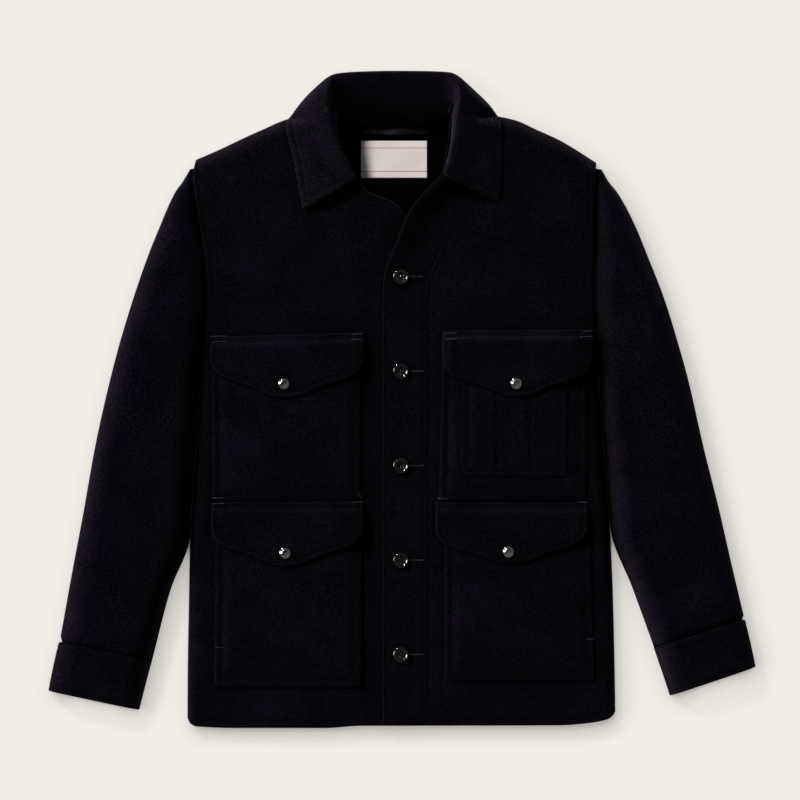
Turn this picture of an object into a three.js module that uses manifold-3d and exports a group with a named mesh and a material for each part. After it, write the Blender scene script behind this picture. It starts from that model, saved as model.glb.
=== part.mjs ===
// Wool mackinaw jacket, buttoned and laid out on its back on a flat surface.
// Millimetres. X runs across the jacket, Y from hem to collar, Z up from the surface.
// "left" and "right" are the sides as seen from above with the collar away from the viewer.
import * as THREE from 'three';
import { mergeVertices } from 'three/addons/utils/BufferGeometryUtils.js';
import Module from 'manifold-3d';

const wasm = await Module();
wasm.setup();

// Cloth and seams
const WOOL = 3.0;             // thick felted wool, one layer
const POCKET_WOOL = 2.6;      // one layer of the patch pockets
const FLAP_WOOL = 3.6;        // two layers pressed together
const SEAM_GAP = 0.3;         // between pieces that meet at a seam
const LAYER_GAP = 0.45;       // between a panel and what lies on it
const BACK_TOP = WOOL;        // upper face of the back panel

// Body
const SHOULDER_TURN = 18;     // how far below the shoulder line the front has risen fully
const SHOULDER_LEAN = 0.92;   // cosine of the shoulder line's slope
const NECK_POINT_LEFT = { x: -77, y: 346 };
const NECK_POINT_RIGHT = { x: 57.6, y: 346 };
const BACK_NECK_DEPTH = 16;   // the back neckline's dip below the neck points
const UNDERLAP_EDGE = 25;     // inner edge of the front that lies below
const OVERLAP_EDGE = -23.4;   // edge of the front that laps over it
const OVERLAP_EASE = 24;      // distance over which the lower front dips under the upper one
const OVERLAP_LEVEL = 6;      // it lies level this far before the upper front's edge

// Open neck edge of the upper front: how far it stands up, over what width, how much wider the
// ridge is where it stands highest, and the levels between which it grows from nothing and
// fades out again under the collar.
const LAPEL = { rise: 17, reach: 14, wider: 12, start: 120, full: 250, fading: 262, gone: 298 };
const SIDE_TOP_Y = 286;       // where the back's straight side edges begin and end
const SIDE_HEM_Y = -376;
const BACK_HALF_WIDTH = 256.5;

// Pockets
const POCKET_RISE = 6.0;      // top of a bellows pocket above the front
const POCKET_TURN = 5.0;
const UTILITY_RISE = 3.2;     // the narrow patch above its pocket
const UTILITY_TURN = 2.6;
const UTILITY_WOOL = 2.4;
const UTILITY_EASE = { startLeft: -24, fullLeft: -11, fullRight: 3, endRight: 24 };
const FLAP_STEP = 15;         // distance over which a flap climbs onto its pocket
const FLAP_SHIFT = 0.25;      // the share of a flap's rows that the climb takes

// Trim
const BUTTON = { radius: 9.4, height: 4.2, rim: 1.9, well: 1.1, hole: 1.1, holeOffset: 1.9 };
const BUTTON_X = -1.2;
const BUTTON_TOP_Y = 147.6;
const BUTTON_SPACING = 113.1;
const SNAP = { radius: 6.6, height: 3.6 };
const LABEL = { left: -49.2, right: 30, top: 310.8, bottom: 266.4, thickness: 0.8 };
const LOOP = { left: -46.8, right: 31.2, top: 326.2, bottom: 318.6, thickness: 1.2, bow: 2.0 };
const CUFF_PROUD = 1.3;
const CUFF_WOOL = 3.6;

// Outline of the body, a row for each level: edges, the height of the front's edge above the
// back (high at the armholes, none where front and back meet), and its turning radius.
const SIDES = [
  { y: 292, left: -246.0, right: 233.0, rise: 20, turn: 6 },
  { y: 268, left: -250.8, right: 232.0, rise: 20, turn: 6 },
  { y: 248, left: -248.5, right: 231.6, rise: 20, turn: 6 },
  { y: 208, left: -242.4, right: 230.4, rise: 20, turn: 6 },
  { y: 168, left: -236.4, right: 229.2, rise: 20, turn: 6 },
  { y: 128, left: -232.8, right: 228.4, rise: 20, turn: 6 },
  { y: 88, left: -234.0, right: 231.0, rise: 19, turn: 7 },
  { y: 48, left: -238.0, right: 234.2, rise: 12, turn: 10 },
  { y: 8, left: -242.4, right: 237.2, rise: 0, turn: 14 },
  { y: -50, left: -246.8, right: 241.5, rise: 0, turn: 14 },
  { y: -115, left: -251.0, right: 246.5, rise: 0, turn: 14 },
  { y: -164, left: -254.0, right: 250.0, rise: 0, turn: 14 },
  { y: -240, left: -255.6, right: 253.2, rise: 0, turn: 14 },
  { y: -320, left: -257.0, right: 255.0, rise: 0, turn: 13 },
  { y: -395, left: -257.4, right: 256.2, rise: 0, turn: 9 },
];

// Loft of the front above the back: along the middle and towards the flanks.
const LOFT = [
  { y: 350, middle: 24, flank: 20 },
  { y: 200, middle: 27, flank: 23 },
  { y: 60, middle: 26, flank: 22 },
  { y: -100, middle: 24, flank: 17 },
  { y: -250, middle: 21, flank: 14 },
  { y: -340, middle: 17, flank: 12.5 },
  { y: -395, middle: 12.5, flank: 10.5 },
];

const SHOULDER = [
  { x: -251, y: 286.4 }, { x: -219.6, y: 300 }, { x: -194.4, y: 312 }, { x: -168, y: 324 },
  { x: -136.8, y: 337 }, { x: -108, y: 343 }, { x: -77, y: 346 }, { x: -10, y: 347 },
  { x: 57.6, y: 346 }, { x: 96, y: 343 }, { x: 134.4, y: 336 }, { x: 162, y: 324 },
  { x: 188.4, y: 312 }, { x: 208.8, y: 300 }, { x: 234, y: 284 },
];

const HEM = [
  { x: -258, y: -380 }, { x: -254.5, y: -388 }, { x: -245, y: -391.5 }, { x: -200, y: -393.2 },
  { x: -92, y: -393.2 }, { x: -50, y: -390.6 }, { x: 190, y: -390 }, { x: 222, y: -387.5 },
  { x: 244, y: -383.5 }, { x: 253, y: -379 }, { x: 257, y: -372 },
];

// Inner edges of the two fronts: neck edge, then the straight closure down to the hem.
const LOWER_EDGE = [
  { y: 346, x: -77 }, { y: 305, x: -69.6 }, { y: 282, x: -60.5 }, { y: 262, x: -50.4 },
  { y: 248, x: -38 }, { y: 238, x: -13 }, { y: 224, x: 3.6 }, { y: 205, x: 17 },
  { y: 185, x: 24 }, { y: 160, x: UNDERLAP_EDGE }, { y: -395, x: UNDERLAP_EDGE },
];
const UPPER_EDGE = [
  { y: 346, x: 57.6 }, { y: 316, x: 55.8 }, { y: 292, x: 51.5 }, { y: 271, x: 46.4 },
  { y: 250, x: 28.2 }, { y: 232, x: 13.2 }, { y: 216, x: 4.2 }, { y: 188, x: -6.4 },
  { y: 152, x: -21.0 }, { y: 120, x: OVERLAP_EDGE }, { y: -395, x: OVERLAP_EDGE },
];

// Levels that a row of a front passes through at the side and at the inner edge.
const FRONT_ROWS = [
  { side: 288, inner: 346 }, { side: 268, inner: 324 }, { side: 242, inner: 296 },
  { side: 205, inner: 264 }, { side: 168, inner: 240 }, { side: 130, inner: 214 },
  { side: 92, inner: 182 }, { side: 74, inner: 150 }, { side: 50, inner: 112 }, { side: 14, inner: 52 },
  { side: -42, inner: -18 }, { side: -100, inner: -86 }, { side: -160, inner: -152 },
  { side: -220, inner: -216 }, { side: -280, inner: -278 }, { side: -335, inner: -335 },
  { side: -380, inner: -390 },
];

// Sleeves, a row for each section from the shoulder tip to the cuff, with both ends of the
// section, the height of its top, and "open": 1 where it opens into the armhole and 0 where it
// closes on itself. The inner end never comes nearer to the body than two seam gaps.
const SLEEVE_LEFT = [
  { inX: -251, inY: 277, outX: -254.6, outY: 276, top: 17, open: 0.7 },
  { inX: -250, inY: 262, outX: -263.6, outY: 261, top: 22, open: 1 },
  { inX: -248, inY: 249, outX: -271.4, outY: 250, top: 25, open: 1 },
  { inX: -246, inY: 234, outX: -279.0, outY: 235, top: 28, open: 1 },
  { inX: -242, inY: 208, outX: -290.4, outY: 208, top: 31, open: 1 },
  { inX: -236, inY: 168, outX: -306.0, outY: 169, top: 34, open: 1 },
  { inX: -233, inY: 120, outX: -322.8, outY: 120, top: 36, open: 1 },
  { inX: -236, inY: 66, outX: -338.0, outY: 70, top: 37, open: 0.75 },
  { inX: -242, inY: 8, outX: -350.6, outY: 22, top: 36, open: 0 },
  { inX: -248.5, inY: -78, outX: -367.6, outY: -54, top: 35, open: 0 },
  { inX: -254.5, inY: -164, outX: -382.6, outY: -138, top: 34, open: 0 },
  { inX: -278, inY: -228, outX: -394.5, outY: -201, top: 32, open: 0 },
  { inX: -300, inY: -312, outX: -410.4, outY: -289, top: 28, open: 0 },
];
const SLEEVE_RIGHT = [
  { inX: 232.2, inY: 277, outX: 239.6, outY: 276, top: 17, open: 0.7 },
  { inX: 232, inY: 262, outX: 248.4, outY: 261, top: 22, open: 1 },
  { inX: 231.6, inY: 249, outX: 257.3, outY: 250, top: 25, open: 1 },
  { inX: 231.4, inY: 234, outX: 266.5, outY: 235, top: 28, open: 1 },
  { inX: 230.4, inY: 208, outX: 280.0, outY: 208, top: 31, open: 1 },
  { inX: 229.2, inY: 168, outX: 296.0, outY: 169, top: 34, open: 1 },
  { inX: 228, inY: 120, outX: 315.0, outY: 120, top: 36, open: 1 },
  { inX: 233, inY: 66, outX: 330.5, outY: 70, top: 37, open: 0.75 },
  { inX: 237.6, inY: 8, outX: 343.8, outY: 22, top: 36, open: 0 },
  { inX: 244, inY: -74, outX: 361.0, outY: -54, top: 35, open: 0 },
  { inX: 250.8, inY: -156, outX: 380.4, outY: -132, top: 34, open: 0 },
  { inX: 277, inY: -226, outX: 395.0, outY: -196, top: 32, open: 0 },
  { inX: 302.4, inY: -296, outX: 410.6, outY: -262, top: 28, open: 0 },
];
const CUFF_LEFT = [
  { inX: -300.2, inY: -312.8, outX: -411.6, outY: -289.8, top: 29, open: 0 },
  { inX: -308, inY: -342, outX: -418.2, outY: -319, top: 27, open: 0 },
  { inX: -315.6, inY: -371.6, outX: -424.2, outY: -348.5, top: 25, open: 0 },
];
const CUFF_RIGHT = [
  { inX: 302.2, inY: -296.8, outX: 411.4, outY: -262.8, top: 29, open: 0 },
  { inX: 312, inY: -325.5, outX: 418, outY: -291, top: 27, open: 0 },
  { inX: 321.6, inY: -354.5, outX: 424.2, outY: -320, top: 25, open: 0 },
];
const SLEEVE_TURN = { inner: 26, outer: 24, under: 9, seamHeight: 18 };
const TURN_SHARE = { inner: 0.42, outer: 0.45, under: 0.4 };   // most of the width each may take
const SEAM_EDGE = 0.05;       // an open section ends this far from its inner end

// Collar, a row for each station from the left front end round the back neck to the right one:
// seam at the neck, top of the fold, and free edge. "foldTop" and "edgeTop" are heights above
// the surface, and an edgeTop of 0 lies on the front under it.
const COLLAR = [
  { seamX: -54, seamY: 264, foldX: -57, foldY: 262, foldTop: 41, edgeX: -119.5, edgeY: 227, edgeTop: 0 },
  { seamX: -64, seamY: 283, foldX: -68, foldY: 284, foldTop: 44, edgeX: -125, edgeY: 258, edgeTop: 0 },
  { seamX: -73, seamY: 306, foldX: -78, foldY: 307, foldTop: 47, edgeX: -131.5, edgeY: 292, edgeTop: 0 },
  { seamX: -78, seamY: 332, foldX: -86, foldY: 335, foldTop: 49, edgeX: -139.5, edgeY: 327, edgeTop: 0 },
  { seamX: -75.2, seamY: 342.8, foldX: -89, foldY: 362, foldTop: 51, edgeX: -129, edgeY: 346, edgeTop: 15 },
  { seamX: -66, seamY: 336, foldX: -86, foldY: 380, foldTop: 51, edgeX: -107, edgeY: 371, edgeTop: 9 },
  { seamX: -53, seamY: 332, foldX: -74, foldY: 387.5, foldTop: 50, edgeX: -86, edgeY: 383, edgeTop: 4 },
  { seamX: -37, seamY: 329, foldX: -46, foldY: 389.5, foldTop: 49, edgeX: -50, edgeY: 385, edgeTop: 3.2 },
  { seamX: -10, seamY: 327.6, foldX: -10, foldY: 390.3, foldTop: 48, edgeX: -10, edgeY: 385, edgeTop: 3.2 },
  { seamX: 18, seamY: 329, foldX: 26, foldY: 390, foldTop: 49, edgeX: 28, edgeY: 385, edgeTop: 3.2 },
  { seamX: 34, seamY: 332, foldX: 53, foldY: 389, foldTop: 50, edgeX: 62, edgeY: 384, edgeTop: 4 },
  { seamX: 47, seamY: 336, foldX: 67, foldY: 380, foldTop: 51, edgeX: 86, edgeY: 371, edgeTop: 9 },
  { seamX: 58, seamY: 344, foldX: 70, foldY: 362, foldTop: 51, edgeX: 110, edgeY: 347, edgeTop: 15 },
  { seamX: 59.5, seamY: 332, foldX: 67, foldY: 335, foldTop: 50, edgeX: 119.5, edgeY: 328, edgeTop: 0 },
  { seamX: 58.5, seamY: 315, foldX: 65, foldY: 315, foldTop: 50, edgeX: 120, edgeY: 299, edgeTop: 0 },
  { seamX: 55.3, seamY: 294, foldX: 61, foldY: 292, foldTop: 49.5, edgeX: 119, edgeY: 268, edgeTop: 0 },
  { seamX: 48.5, seamY: 269, foldX: 53, foldY: 267, foldTop: 49, edgeX: 116.6, edgeY: 236.4, edgeTop: 0 },
];
const COLLAR_WOOL = 3.2;
const COLLAR_BOW = 8;         // how far the leaf stands off the front halfway down
const COLLAR_FOLD = 9;        // reach of the rounded fold
const COLLAR_SPARE = 3.0;     // extra height of the leaf where it bridges the shoulder fold
const COLLAR_PULL = { stand: 2.2, leaf: 3, settle: 0.35, backLean: 0.7 };   // slopes at the fold
const COLLAR_NEAR = 3;        // the collar counts as above a panel this near to its edge

// Patch pockets: edges at the top and at the bottom.
const POCKETS = [
  { name: 'pocket_upper_left', topLeft: -228, topRight: -49,
    left: -227, right: -48.6, top: 59, bottom: -118.4 },
  { name: 'pocket_lower_left', topLeft: -222.8, topRight: -48,
    left: -225, right: -48, top: -139.5, bottom: -343.6 },
  { name: 'pocket_upper_right', topLeft: 48, topRight: 222.4, left: 44, right: 221, top: 59, bottom: -119.4 },
  { name: 'pocket_lower_right', topLeft: 50.8, topRight: 225.4,
    left: 50.8, right: 231, top: -139.5, bottom: -336.4 },
];
const UTILITY = { topLeft: 71.6, topRight: 199.2, left: 70, right: 196.8, top: 40, bottom: -92.4 };

// Flaps: corners of the sewn edge, the level where the straight sides end, and the point.
const FLAPS = [
  { name: 'upper_left', left: -229.4, right: -45.2, topLeft: 76, topRight: 81,
    corner: 47, tipX: -141, tipY: 2.6 },
  { name: 'lower_left', left: -228.2, right: -45.8, topLeft: -121.5, topRight: -121.5,
    corner: -157, tipX: -138.6, tipY: -198.8 },
  { name: 'upper_right', left: 48, right: 228.6, topLeft: 83.6, topRight: 84.6,
    corner: 46, tipX: 138, tipY: 4.4 },
  { name: 'lower_right', left: 40, right: 222, topLeft: -122, topRight: -122,
    corner: -157, tipX: 130.6, tipY: -196 },
];
// Scalloped lower edge: how far down it hangs at each fraction of the way from point to side.
const SCALLOP = [
  { across: 0, drop: 1 }, { across: 0.12, drop: 0.98 }, { across: 0.25, drop: 0.9 },
  { across: 0.42, drop: 0.73 }, { across: 0.6, drop: 0.6 }, { across: 0.8, drop: 0.46 },
  { across: 0.91, drop: 0.3 }, { across: 0.98, drop: 0.11 }, { across: 1, drop: 0 },
];
const SNAPS = [
  { name: 'upper_left', x: -141.4, y: 19.4 }, { name: 'lower_left', x: -139.8, y: -183.2 },
  { name: 'upper_right', x: 136.6, y: 19.8 }, { name: 'lower_right', x: 127.2, y: -181.6 },
];

// Finishes
const wool = () => new THREE.MeshStandardMaterial({ color: 0x14121a, roughness: 0.95, metalness: 0 });
const blackPlastic = () => new THREE.MeshStandardMaterial({ color: 0x0a0a0c, roughness: 0.2, metalness: 0 });
const darkChrome = () => new THREE.MeshStandardMaterial({ color: 0x3c3d42, roughness: 0.18, metalness: 1 });
const wovenLabel = () => new THREE.MeshStandardMaterial({ color: 0xf1e6df, roughness: 0.7, metalness: 0 });
const satin = () => new THREE.MeshStandardMaterial({ color: 0x17161d, roughness: 0.45, metalness: 0 });

const clamp = THREE.MathUtils.clamp;
const lerp = THREE.MathUtils.lerp;
const smooth = (low, high, value) => THREE.MathUtils.smoothstep(value, low, high);

// Quarter circle: 0 at a fold, 1 once the cloth has turned level.
const turned = (distance, radius) => Math.sqrt(1 - (1 - clamp(distance / radius, 0, 1)) ** 2);

// Smooth curve through one column of a table, read at a value of its key column.
function read(table, key, column, value) {
  const rising = table[0][key] < table[table.length - 1][key];
  const rows = rising ? table : [...table].reverse();
  const last = rows.length - 1;
  const at = clamp(value, rows[0][key], rows[last][key]);
  let i = 0;
  while (i < last - 1 && rows[i + 1][key] < at) i += 1;
  const slope = (a, b) => (rows[b][column] - rows[a][column]) / (rows[b][key] - rows[a][key]);
  const step = rows[i + 1][key] - rows[i][key];
  const here = slope(i, i + 1);
  const before = i > 0 ? slope(i - 1, i) : here;
  const after = i + 2 <= last ? slope(i + 1, i + 2) : here;
  const level = (a, b) => (a * b <= 0 ? 0 : (2 * a * b) / (a + b));
  const startSlope = i > 0 ? level(before, here) : here;
  const endSlope = i + 2 <= last ? level(here, after) : here;
  const t = (at - rows[i][key]) / step;
  const h00 = (1 + 2 * t) * (1 - t) ** 2;
  const h10 = t * (1 - t) ** 2;
  const h01 = t * t * (3 - 2 * t);
  const h11 = t * t * (t - 1);
  return h00 * rows[i][column] + h10 * step * startSlope
    + h01 * rows[i + 1][column] + h11 * step * endSlope;
}

// Height of the upper face of the closed body at a place in plan.
function torsoTop(x, y) {
  const left = read(SIDES, 'y', 'left', y);
  const right = read(SIDES, 'y', 'right', y);
  const rise = read(SIDES, 'y', 'rise', y);
  const turn = read(SIDES, 'y', 'turn', y);
  const fromSide = Math.max(0, Math.min(x - left, right - x));
  const across = clamp((x - (left + right) / 2) / ((right - left) / 2), -1, 1);
  const flank = read(LOFT, 'y', 'flank', y);
  const crown = flank + (read(LOFT, 'y', 'middle', y) - flank) * (1 - across * across);
  const belowShoulder = Math.max(0, read(SHOULDER, 'x', 'y', x) - y) * SHOULDER_LEAN;
  const height = rise + (crown - rise) * turned(fromSide, turn);
  return BACK_TOP + SEAM_GAP + height * turned(belowShoulder, SHOULDER_TURN);
}

// The front that lies below dips under the one that laps over it.
function lowerFrontTop(x, y) {
  const inside = x - read(UPPER_EDGE, 'y', 'x', y) + OVERLAP_EASE + OVERLAP_LEVEL;
  return torsoTop(x, y) - (WOOL + LAYER_GAP) * smooth(0, OVERLAP_EASE, inside);
}

// The upper front's neck edge stands up a little where it falls open.
function upperFrontTop(x, y) {
  const fromEdge = Math.max(0, x - read(UPPER_EDGE, 'y', 'x', y));
  const opened = smooth(LAPEL.start, LAPEL.full, y);
  const rise = LAPEL.rise * opened * (1 - smooth(LAPEL.fading, LAPEL.gone, y));
  const reach = LAPEL.reach + LAPEL.wider * opened;
  return torsoTop(x, y) + rise * Math.exp(-((fromEdge / reach) ** 2));
}

// Closed wall from a grid of points on its outer face. Rows run down and columns run right as
// seen from outside. The inner face is the outer one moved in along the normals, and is kept
// above "floor" where one is given. Edges named in "upright" end square to the surface below.
function wall(grid, thickness, { upright = [], floor = null } = {}) {
  const rows = grid.length;
  const columns = grid[0].length;
  const normalAt = (i, j) => {
    const down = grid[Math.min(i + 1, rows - 1)][j].clone().sub(grid[Math.max(i - 1, 0)][j]);
    const along = grid[i][Math.min(j + 1, columns - 1)].clone().sub(grid[i][Math.max(j - 1, 0)]);
    const normal = down.cross(along).normalize();
    const edges = [['left', j === 0], ['right', j === columns - 1],
      ['top', i === 0], ['bottom', i === rows - 1]];
    if (edges.some(([name, here]) => here && upright.includes(name))) normal.setZ(0).normalize();
    return normal;
  };
  const points = [];
  for (let i = 0; i < rows; i += 1) for (let j = 0; j < columns; j += 1) points.push(grid[i][j]);
  for (let i = 0; i < rows; i += 1) {
    for (let j = 0; j < columns; j += 1) {
      const inner = grid[i][j].clone().addScaledVector(normalAt(i, j), -thickness);
      if (floor) inner.z = Math.max(inner.z, floor(inner.x, inner.y));
      points.push(inner);
    }
  }
  const outerAt = (i, j) => i * columns + j;
  const under = rows * columns;
  const faces = [];
  for (let i = 0; i < rows - 1; i += 1) {
    for (let j = 0; j < columns - 1; j += 1) {
      const [a, b, c, d] = [outerAt(i, j), outerAt(i, j + 1), outerAt(i + 1, j + 1), outerAt(i + 1, j)];
      faces.push(a, d, c, a, c, b, under + a, under + c, under + d, under + a, under + b, under + c);
    }
  }
  const rim = (p, q) => faces.push(q, p, under + p, q, under + p, under + q);
  for (let i = 0; i < rows - 1; i += 1) {
    rim(outerAt(i, 0), outerAt(i + 1, 0));
    rim(outerAt(i + 1, columns - 1), outerAt(i, columns - 1));
  }
  for (let j = 0; j < columns - 1; j += 1) {
    rim(outerAt(rows - 1, j), outerAt(rows - 1, j + 1));
    rim(outerAt(0, j + 1), outerAt(0, j));
  }
  const geometry = new THREE.BufferGeometry();
  const numbers = points.flatMap((p) => [p.x, p.y, p.z]);
  geometry.setAttribute('position', new THREE.Float32BufferAttribute(numbers, 3));
  geometry.setIndex(faces);
  return geometry;
}

function named(name, geometry, material) {
  const mesh = new THREE.Mesh(geometry, material);
  mesh.name = name;
  return mesh;
}

const range = (count) => Array.from({ length: count + 1 }, (_, i) => i / count);
const TURN_STEPS = [0, 0.134, 0.5, 1];   // 1 - cos of 0, 30, 60 and 90 degrees

// Back neckline: half an ellipse between the neck points.
function backNeck(x) {
  const middleX = (NECK_POINT_LEFT.x + NECK_POINT_RIGHT.x) / 2;
  const halfNeck = (NECK_POINT_RIGHT.x - NECK_POINT_LEFT.x) / 2;
  const across = clamp((x - middleX) / halfNeck, -1, 1);
  return NECK_POINT_LEFT.y - BACK_NECK_DEPTH * Math.sqrt(1 - across * across);
}

// Back panel: one layer flat on the surface, its neckline cut between the neck points.
function makeBack() {
  const outline = [];
  const sideLevels = range(32).map((t) => lerp(SIDE_TOP_Y, SIDE_HEM_Y, t));
  const tip = (side) => read(SIDES, 'y', side, SIDE_TOP_Y);
  const shoulderLeft = range(6).map((t) => lerp(tip('left'), NECK_POINT_LEFT.x, t)).slice(1);
  const shoulderRight = range(6).map((t) => lerp(NECK_POINT_RIGHT.x, tip('right'), t)).slice(0, -1);
  sideLevels.slice().reverse().forEach((y) => outline.push([read(SIDES, 'y', 'left', y), y]));
  shoulderLeft.forEach((x) => outline.push([x, read(SHOULDER, 'x', 'y', x)]));
  range(8).slice(1, -1).forEach((t) => {
    const x = lerp(NECK_POINT_LEFT.x, NECK_POINT_RIGHT.x, t);
    outline.push([x, backNeck(x)]);
  });
  shoulderRight.forEach((x) => outline.push([x, read(SHOULDER, 'x', 'y', x)]));
  sideLevels.forEach((y) => outline.push([read(SIDES, 'y', 'right', y), y]));
  const shape = new THREE.Shape(outline.map(([x, y]) => new THREE.Vector2(x, y)));
  range(22).slice(1, -1).forEach((t) => {
    const x = BACK_HALF_WIDTH * Math.cos(Math.PI * t);
    shape.lineTo(x, read(HEM, 'x', 'y', x));
  });
  return new THREE.ExtrudeGeometry(shape, { depth: WOOL, bevelEnabled: false });
}

// Where the columns of each front lie between the turned side and the inner edge.
const LOWER_SHARES = [0.12, 0.26, 0.4, 0.54, 0.64, 0.72, 0.8, 0.87, 0.935, 1];
const UPPER_SHARES = [0.12, 0.26, 0.4, 0.54, 0.66, 0.76, 0.84, 0.9, 0.955, 1];

// A front: side edge, shoulder, inner edge and hem bound a sheet that follows the body's loft.
// Its rows run straight from side to inner edge, apart from the bend of the shoulder, which
// fades as the cube of the way down, and that of the hem, which fades faster going up.
function makeFront(side, innerTable, shares, topOf) {
  const sign = side === 'left' ? 1 : -1;
  const segments = FRONT_ROWS.length - 1;
  const rowKeys = FRONT_ROWS.map((row, index) => ({ ...row, index }));
  const levels = [...TURN_STEPS, ...range(segments).slice(2).map((t) => t * segments)];
  const columns = [...TURN_STEPS.map((turn) => ({ turn })), ...shares.map((share) => ({ share }))];
  const grid = levels.map((level) => {
    const sideY = read(rowKeys, 'index', 'side', level);
    const innerY = read(rowKeys, 'index', 'inner', level);
    const sideX = read(SIDES, 'y', side, sideY);
    const innerX = read(innerTable, 'y', 'x', innerY);
    const turn = read(SIDES, 'y', 'turn', sideY);
    const down = level / segments;
    const row = columns.map(({ turn: step, share }) => {
      const turnEnd = sideX + sign * turn;
      const x = step === undefined ? lerp(turnEnd, innerX, share) : sideX + sign * turn * step;
      const across = (x - sideX) / (innerX - sideX);
      const straight = lerp(sideY, innerY, across);
      const chordTop = lerp(FRONT_ROWS[0].side, FRONT_ROWS[0].inner, across);
      const toShoulder = (read(SHOULDER, 'x', 'y', x) - chordTop) * (1 - down) ** 3;
      const chordHem = lerp(FRONT_ROWS[segments].side, FRONT_ROWS[segments].inner, across);
      const toHem = (read(HEM, 'x', 'y', x) - chordHem) * down ** 6;
      const y = straight + toShoulder + toHem;
      return new THREE.Vector3(x, y, topOf(x, y));
    });
    return side === 'left' ? row : row.reverse();
  });
  return wall(grid, WOOL, { upright: [side, 'top'] });
}

// Sleeve or cuff: each section starts at its inner end, crosses the top, turns under at the
// outer end and runs back along the surface to the underarm seam.
function makeSleeve(side, table, counts, thickness, proud, hug) {
  const sign = side === 'left' ? -1 : 1;
  const keyed = table.map((row, index) => ({ ...row, index }));
  const grid = range(counts.rows).map((t) => {
    const level = t * (table.length - 1);
    const value = (column) => read(keyed, 'index', column, level);
    const inner = new THREE.Vector2(value('inX'), value('inY'));
    const outer = new THREE.Vector2(value('outX'), value('outY'));
    if (hug) {
      const bodyEdge = read(SIDES, 'y', side, inner.y) + sign * 2 * SEAM_GAP;
      inner.x = sign * Math.max(sign * inner.x, sign * bodyEdge);
    }
    const open = value('open');
    const top = value('top') + proud;
    const width = inner.distanceTo(outer);
    const innerTurn = Math.min(SLEEVE_TURN.inner, width * TURN_SHARE.inner);
    const outerTurn = Math.min(SLEEVE_TURN.outer, width * TURN_SHARE.outer);
    const under = Math.min(SLEEVE_TURN.under, width * TURN_SHARE.under);
    const seam = SLEEVE_TURN.seamHeight * smooth(0, 1, open);
    const section = [];
    TURN_STEPS.forEach((step) => {
      const upright = turned(step, 1);
      const leaning = Math.sin((Math.PI / 2) * step);
      section.push([step * innerTurn, seam + (top - seam) * lerp(upright, leaning, open)]);
    });
    range(counts.across).slice(1, -1).forEach((share) => {
      section.push([lerp(innerTurn, width - outerTurn, share), top]);
    });
    [...TURN_STEPS].reverse().forEach((step) => {
      section.push([width - step * outerTurn, under + (top - under) * turned(step, 1)]);
    });
    [...TURN_STEPS].slice(1).forEach((step) => {
      section.push([width - under * (1 - turned(1 - step, 1)), under * (1 - step)]);
    });
    const seamEnd = lerp(thickness + SEAM_GAP, SEAM_EDGE, smooth(0, 1, open));
    range(counts.across).slice(1).forEach((share) => {
      section.push([lerp(width - under, seamEnd, share), 0]);
    });
    const row = section.map(([across, z]) => {
      const p = inner.clone().lerp(outer, across / width);
      return new THREE.Vector3(p.x, p.y, z);
    });
    return side === 'left' ? row.reverse() : row;
  });
  return wall(grid, thickness, { floor: () => 0 });
}

// Collar: stand from the neck seam up to a rounded fold, then the leaf down to its free edge.
function makeCollar() {
  const keyed = COLLAR.map((row, index) => ({ ...row, index }));
  const stations = range(32).map((t) => {
    const value = (column) => read(keyed, 'index', column, t * (COLLAR.length - 1));
    const seam = new THREE.Vector3(value('seamX'), value('seamY'), 0);
    const fold = new THREE.Vector3(value('foldX'), value('foldY'), value('foldTop'));
    const edge = new THREE.Vector3(value('edgeX'), value('edgeY'), 0);
    const onFront = 1 - smooth(0, 6, value('edgeTop'));
    edge.z = lerp(value('edgeTop'), torsoTop(edge.x, edge.y) + LAYER_GAP + COLLAR_WOOL, onFront);
    seam.z = bodyTop(seam.x, seam.y) + LAYER_GAP;
    const outward = edge.clone().sub(seam).setZ(0).normalize();
    const back = fold.clone().sub(seam).setZ(0).normalize();
    outward.lerp(back, COLLAR_PULL.backLean * (1 - onFront)).normalize();
    const overFold = outward.clone().multiplyScalar(COLLAR_FOLD);
    const rise = new THREE.Vector3(0, 0, fold.z - seam.z);
    const stand = hermite(seam, rise, fold, overFold.clone().multiplyScalar(COLLAR_PULL.stand));
    const drop = new THREE.Vector3(0, 0, -(fold.z - edge.z) * lerp(1, COLLAR_PULL.settle, onFront));
    const settle = edge.clone().sub(fold).setZ(0).multiplyScalar(onFront).add(drop);
    const leaf = hermite(fold, overFold.clone().multiplyScalar(COLLAR_PULL.leaf), edge, settle);
    const [standSteps, leafSteps] = [4, 6];
    const section = [...range(standSteps).map(stand), ...range(leafSteps).slice(1).map(leaf)];
    section.forEach((p, i) => {
      const down = clamp((i - standSteps) / leafSteps, 0, 1);
      const resting = bodyTop(p.x, p.y) + LAYER_GAP + (i > standSteps ? COLLAR_WOOL : 0);
      p.z = Math.max(p.z, resting + onFront * COLLAR_BOW * Math.sin(Math.PI * down));
    });
    return section;
  });
  const grid = stations[0].map((_, j) => stations.map((section) => section[j])).reverse();
  return wall(grid, COLLAR_WOOL, { floor: (x, y) => bodyTop(x, y) + LAYER_GAP });
}

function hermite(start, startSlope, end, endSlope) {
  return (t) => new THREE.Vector3()
    .addScaledVector(start, (1 + 2 * t) * (1 - t) ** 2)
    .addScaledVector(startSlope, t * (1 - t) ** 2)
    .addScaledVector(end, t * t * (3 - 2 * t))
    .addScaledVector(endSlope, t * t * (t - 1));
}

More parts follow.
